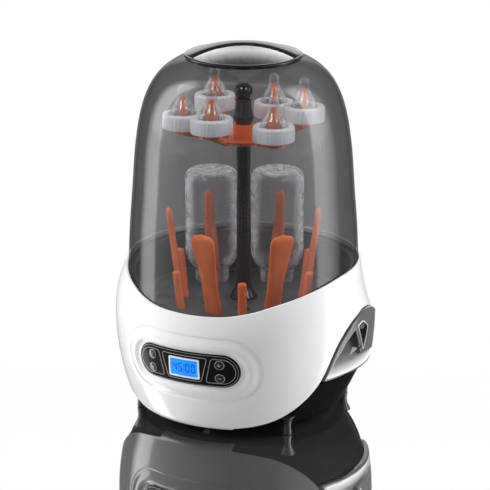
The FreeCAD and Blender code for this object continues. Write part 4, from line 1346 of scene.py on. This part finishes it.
def teat_at(z):
    """Soft clear teat: flange, rounded shoulder and narrow rounded tip, hollow inside."""
    outer = rounded([(13.2, z), (13.2, z + 1.0), (12.6, z + 6.0, 4.0), (10.6, z + 12.0, 5.0), (6.4, z + 18.0, 5.0), (5.2, z + 22.0, 4.0),
                     (5.6, z + 27.0, 3.0), (4.6, z + 31.5, 2.5), (2.0, z + 33.4, 1.0), (0.0, z + 33.5)], 1.0, 5)
    inner = rounded([(0.0, z + 32.2), (1.8, z + 32.0, 1.0), (3.6, z + 30.6, 2.0), (4.4, z + 27.0, 3.0), (4.0, z + 22.0, 4.0),
                     (5.2, z + 18.0, 5.0), (9.4, z + 11.4, 5.0), (11.4, z + 6.0, 4.0), (12.0, z)], 1.0, 5)
    return lathe("teat", outer + inner, 48, (0.0, -62.0), 60.0)


def tongue_at(z, height=34.5):
    """Flat orange tongue with a tapering, rounded top that holds a teat open."""
    rows, around = 24, 20
    widths = spline([(0.0, 14.0), (0.35, 13.4), (0.62, 12.4), (0.82, 9.0), (0.95, 6.6), (1.0, 5.6)], 4)
    vertices = []
    for i in range(rows + 1):
        t = i / rows
        tip = math.sqrt(max(0.0, 1 - clamp((t - 0.93) / 0.07) ** 2)) if t > 0.93 else 1.0
        half = lookup(widths, t) / 2 * max(tip, 0.02)
        for k in range(around):
            a = 2 * math.pi * k / around
            c, s = math.cos(a), math.sin(a)
            x = half * math.copysign(abs(c) ** 0.7, c)
            y = 2.3 * max(tip, 0.3) * math.copysign(abs(s) ** 0.7, s)
            vertices.append((x, -62.0 + y, z + t * height))
    faces = grid_faces(rows + 1, around)
    faces.append(tuple(range(around)))
    faces.append(tuple(rows * around + k for k in range(around - 1, -1, -1)))
    return make_object("tongue", vertices, faces, 60.0)


def tray_load():
    """Collars, teats and the tongues that carry them, alternately high and low."""
    rings, soft, tongues = [], [], []
    for index, (angle, seat) in enumerate(zip(stations(), seat_heights())):
        rings.append(turned(collar_at(seat), angle))
        soft.append(turned(teat_at(seat + 11.0), angle))
        facing = Matrix.Translation(Vector((0, -62, 0)) * MM) @ Matrix.Rotation(
            math.radians(27.0 - angle + (12.0, -14.0, 60.0, 55.0, 8.0, 50.0)[index]), 4, "Z"
        ) @ Matrix.Translation(Vector((0, 62, 0)) * MM)
        tongues.append(turned(moved(tongue_at(seat), facing), angle))
    piece(joined("collar_set", rings), "tray", "collar", ["collars"])
    piece(joined("teat_set", soft), "tray", "teat", ["teats"])
    piece(joined("tray_tongues", tongues), "tray", "orange", ["tray_prongs"])


# ---- Studio ---------------------------------------------------------------------------------

CAMERA_AZIMUTH = 27.0
CAMERA_DISTANCE = 2.1
CAMERA_HEIGHT = 0.82
CAMERA_PITCH = 17.18
CAMERA_LENS = 154.9


def camera():
    data = bpy.data.cameras.new("camera")
    data.lens = CAMERA_LENS
    data.sensor_width = 36.0
    data.shift_x = 0.003
    obj = bpy.data.objects.new("camera", data)
    x, y, _ = polar(CAMERA_DISTANCE, CAMERA_AZIMUTH)
    obj.location = (x, y, CAMERA_HEIGHT)
    obj.rotation_euler = (math.radians(90 - CAMERA_PITCH), 0.0, math.radians(CAMERA_AZIMUTH))
    bpy.context.scene.collection.objects.link(obj)
    bpy.context.scene.camera = obj


def area_light(name, angle, distance, height, width, tall, power, target=(0, 0, 0.2)):
    """Soft box at an angle counted from the camera's side towards its right."""
    data = bpy.data.lights.new(name, "AREA")
    data.shape = "RECTANGLE"
    data.size, data.size_y = width, tall
    data.energy = power
    obj = bpy.data.objects.new(name, data)
    x, y, _ = polar(distance, CAMERA_AZIMUTH + angle)
    obj.location = (x, y, height)
    aim = Vector(target) - Vector(obj.location)
    obj.rotation_euler = aim.to_track_quat("-Z", "Y").to_euler()
    obj.visible_camera = False
    bpy.context.scene.collection.objects.link(obj)
    return obj


def world():
    """White behind the object, a tall soft box at each side, and dim towards the camera and overhead."""
    made = bpy.data.worlds.new("studio")
    bpy.context.scene.world = made
    made.use_nodes = True
    tree = made.node_tree
    tree.nodes.clear()

    def math_node(operation, *values):
        node = tree.nodes.new("ShaderNodeMath")
        node.operation = operation
        for socket, value in zip(node.inputs, values):
            if isinstance(value, bpy.types.NodeSocket):
                tree.links.new(value, socket)
            else:
                socket.default_value = value
        return node.outputs[0]

    def curve(value, low, high, stops):
        spread = tree.nodes.new("ShaderNodeMapRange")
        spread.inputs["From Min"].default_value = low
        spread.inputs["From Max"].default_value = high
        tree.links.new(value, spread.inputs["Value"])
        ramp = tree.nodes.new("ShaderNodeValToRGB")
        while len(ramp.color_ramp.elements) < len(stops):
            ramp.color_ramp.elements.new(0.5)
        for element, (position, level) in zip(ramp.color_ramp.elements, stops):
            element.position = (position - low) / (high - low)
            element.color = (level, level, level, 1.0)
        tree.links.new(spread.outputs["Result"], ramp.inputs["Fac"])
        return ramp.outputs["Color"]

    look_way = tree.nodes.new("ShaderNodeTexCoord").outputs["Generated"]
    split = tree.nodes.new("ShaderNodeSeparateXYZ")
    tree.links.new(look_way, split.inputs[0])
    turn = math.radians(CAMERA_AZIMUTH)
    x, y, z = split.outputs
    right = math_node("ADD", math_node("MULTIPLY", x, math.cos(turn)), math_node("MULTIPLY", y, math.sin(turn)))
    toward = math_node("SUBTRACT", math_node("MULTIPLY", x, math.sin(turn)), math_node("MULTIPLY", y, math.cos(turn)))
    bearing = math_node("MULTIPLY", math_node("ARCTAN2", right, toward), 180 / math.pi)
    rise = math_node("MULTIPLY", math_node("ARCSINE", z), 180 / math.pi)
    upward = curve(rise, -90.0, 90.0, WORLD_UPWARD)

    def background(stops, level):
        product = tree.nodes.new("ShaderNodeVectorMath")
        product.operation = "MULTIPLY"
        tree.links.new(curve(bearing, -180.0, 180.0, stops), product.inputs[0])
        tree.links.new(upward, product.inputs[1])
        back = tree.nodes.new("ShaderNodeBackground")
        back.inputs["Strength"].default_value = level
        tree.links.new(product.outputs[0], back.inputs["Color"])
        return back.outputs[0]

    blend = tree.nodes.new("ShaderNodeMixShader")
    tree.links.new(tree.nodes.new("ShaderNodeLightPath").outputs["Is Glossy Ray"], blend.inputs[0])
    tree.links.new(background(WORLD_DIFFUSE, DIFFUSE_GAIN), blend.inputs[1])
    tree.links.new(background(WORLD_AROUND, WORLD_GAIN), blend.inputs[2])
    output = tree.nodes.new("ShaderNodeOutputWorld")
    tree.links.new(blend.outputs[0], output.inputs["Surface"])


WORLD_GAIN = 4.0
WORLD_AROUND = [
    (-180, 0.25), (-166, 0.25), (-164, 0.04), (-127, 0.05), (-116, 0.9), (-100, 1.0), (-98, 0.3), (-60, 0.12),
    (-10, 0.04), (30, 0.06), (62, 0.2), (77, 0.3), (79, 0.95), (90, 0.9), (114, 0.05), (164, 0.04), (166, 0.25), (180, 0.25),
]
DIFFUSE_GAIN = 7.5
WORLD_DIFFUSE = [
    (-180, 0.06), (-118, 0.08), (-104, 1.0), (-84, 1.0), (-77, 0.1), (-40, 0.04), (40, 0.04), (75, 0.1), (84, 1.0),
    (104, 1.0), (118, 0.08), (180, 0.06),
]
WORLD_UPWARD = [(-60, 0.3), (-48, 1.0), (48, 1.0), (58, 0.25), (90, 0.2)]


def floor():
    size = 9.0
    mesh = bpy.data.meshes.new("studio_floor")
    count = 24
    vertices = [(mix(-size, size, i / count), mix(-size, size, j / count), -0.0004)
                for j in range(count + 1) for i in range(count + 1)]
    mesh.from_pydata(vertices, [], grid_faces(count + 1, count + 1, wrap_columns=False))
    mesh.materials.append(look["floor"])
    obj = bpy.data.objects.new("studio_floor", mesh)
    bpy.context.scene.collection.objects.link(obj)
    obj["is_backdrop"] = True


def contents_light():
    """Soft key light for the things under the lid only."""
    group = bpy.data.collections.new("contents")
    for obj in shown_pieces():
        if body_of(obj)[0] in ("rack", "tray"):
            group.objects.link(obj)
    for name, angle, height, power in (("contents_key", -35, 1.5, 18.0), ("contents_fill", 40, 1.3, 9.0)):
        lamp = area_light(name, angle, 1.3, height, 0.6, 0.6, power)
        lamp.light_linking.receiver_collection = group
        lamp.light_linking.blocker_collection = group


def studio():
    world()
    floor()
    camera()
    contents_light()
    scene = bpy.context.scene
    scene.view_settings.view_transform = "Standard"
    scene.cycles.transparent_max_bounces = 32
    scene.cycles.max_bounces = 16


# ---- Build ----------------------------------------------------------------------------------

paint_cad()
base_shell()
side_grip(1, "grip_insert_right", "side_grip_right")
side_grip(-1, "grip_insert_left", "side_grip_left")
grip_scoop(1, "grip_scoop_right")
grip_scoop(-1, "grip_scoop_left")
grip_seam(1, "grip_seam_right")
grip_seam(-1, "grip_seam_left")
grip_hole(1, "grip_hole_right")
grip_hole(-1, "grip_hole_left")
feet()
panel_plate()
panel_lines()
display()
for key_name, (key_x, key_z) in button_places().items():
    button(key_name, key_x, key_z)
lid_dome()
handle_bowl()
lid_handle()
prongs()
bottles()
column()
tray_load()
studio()
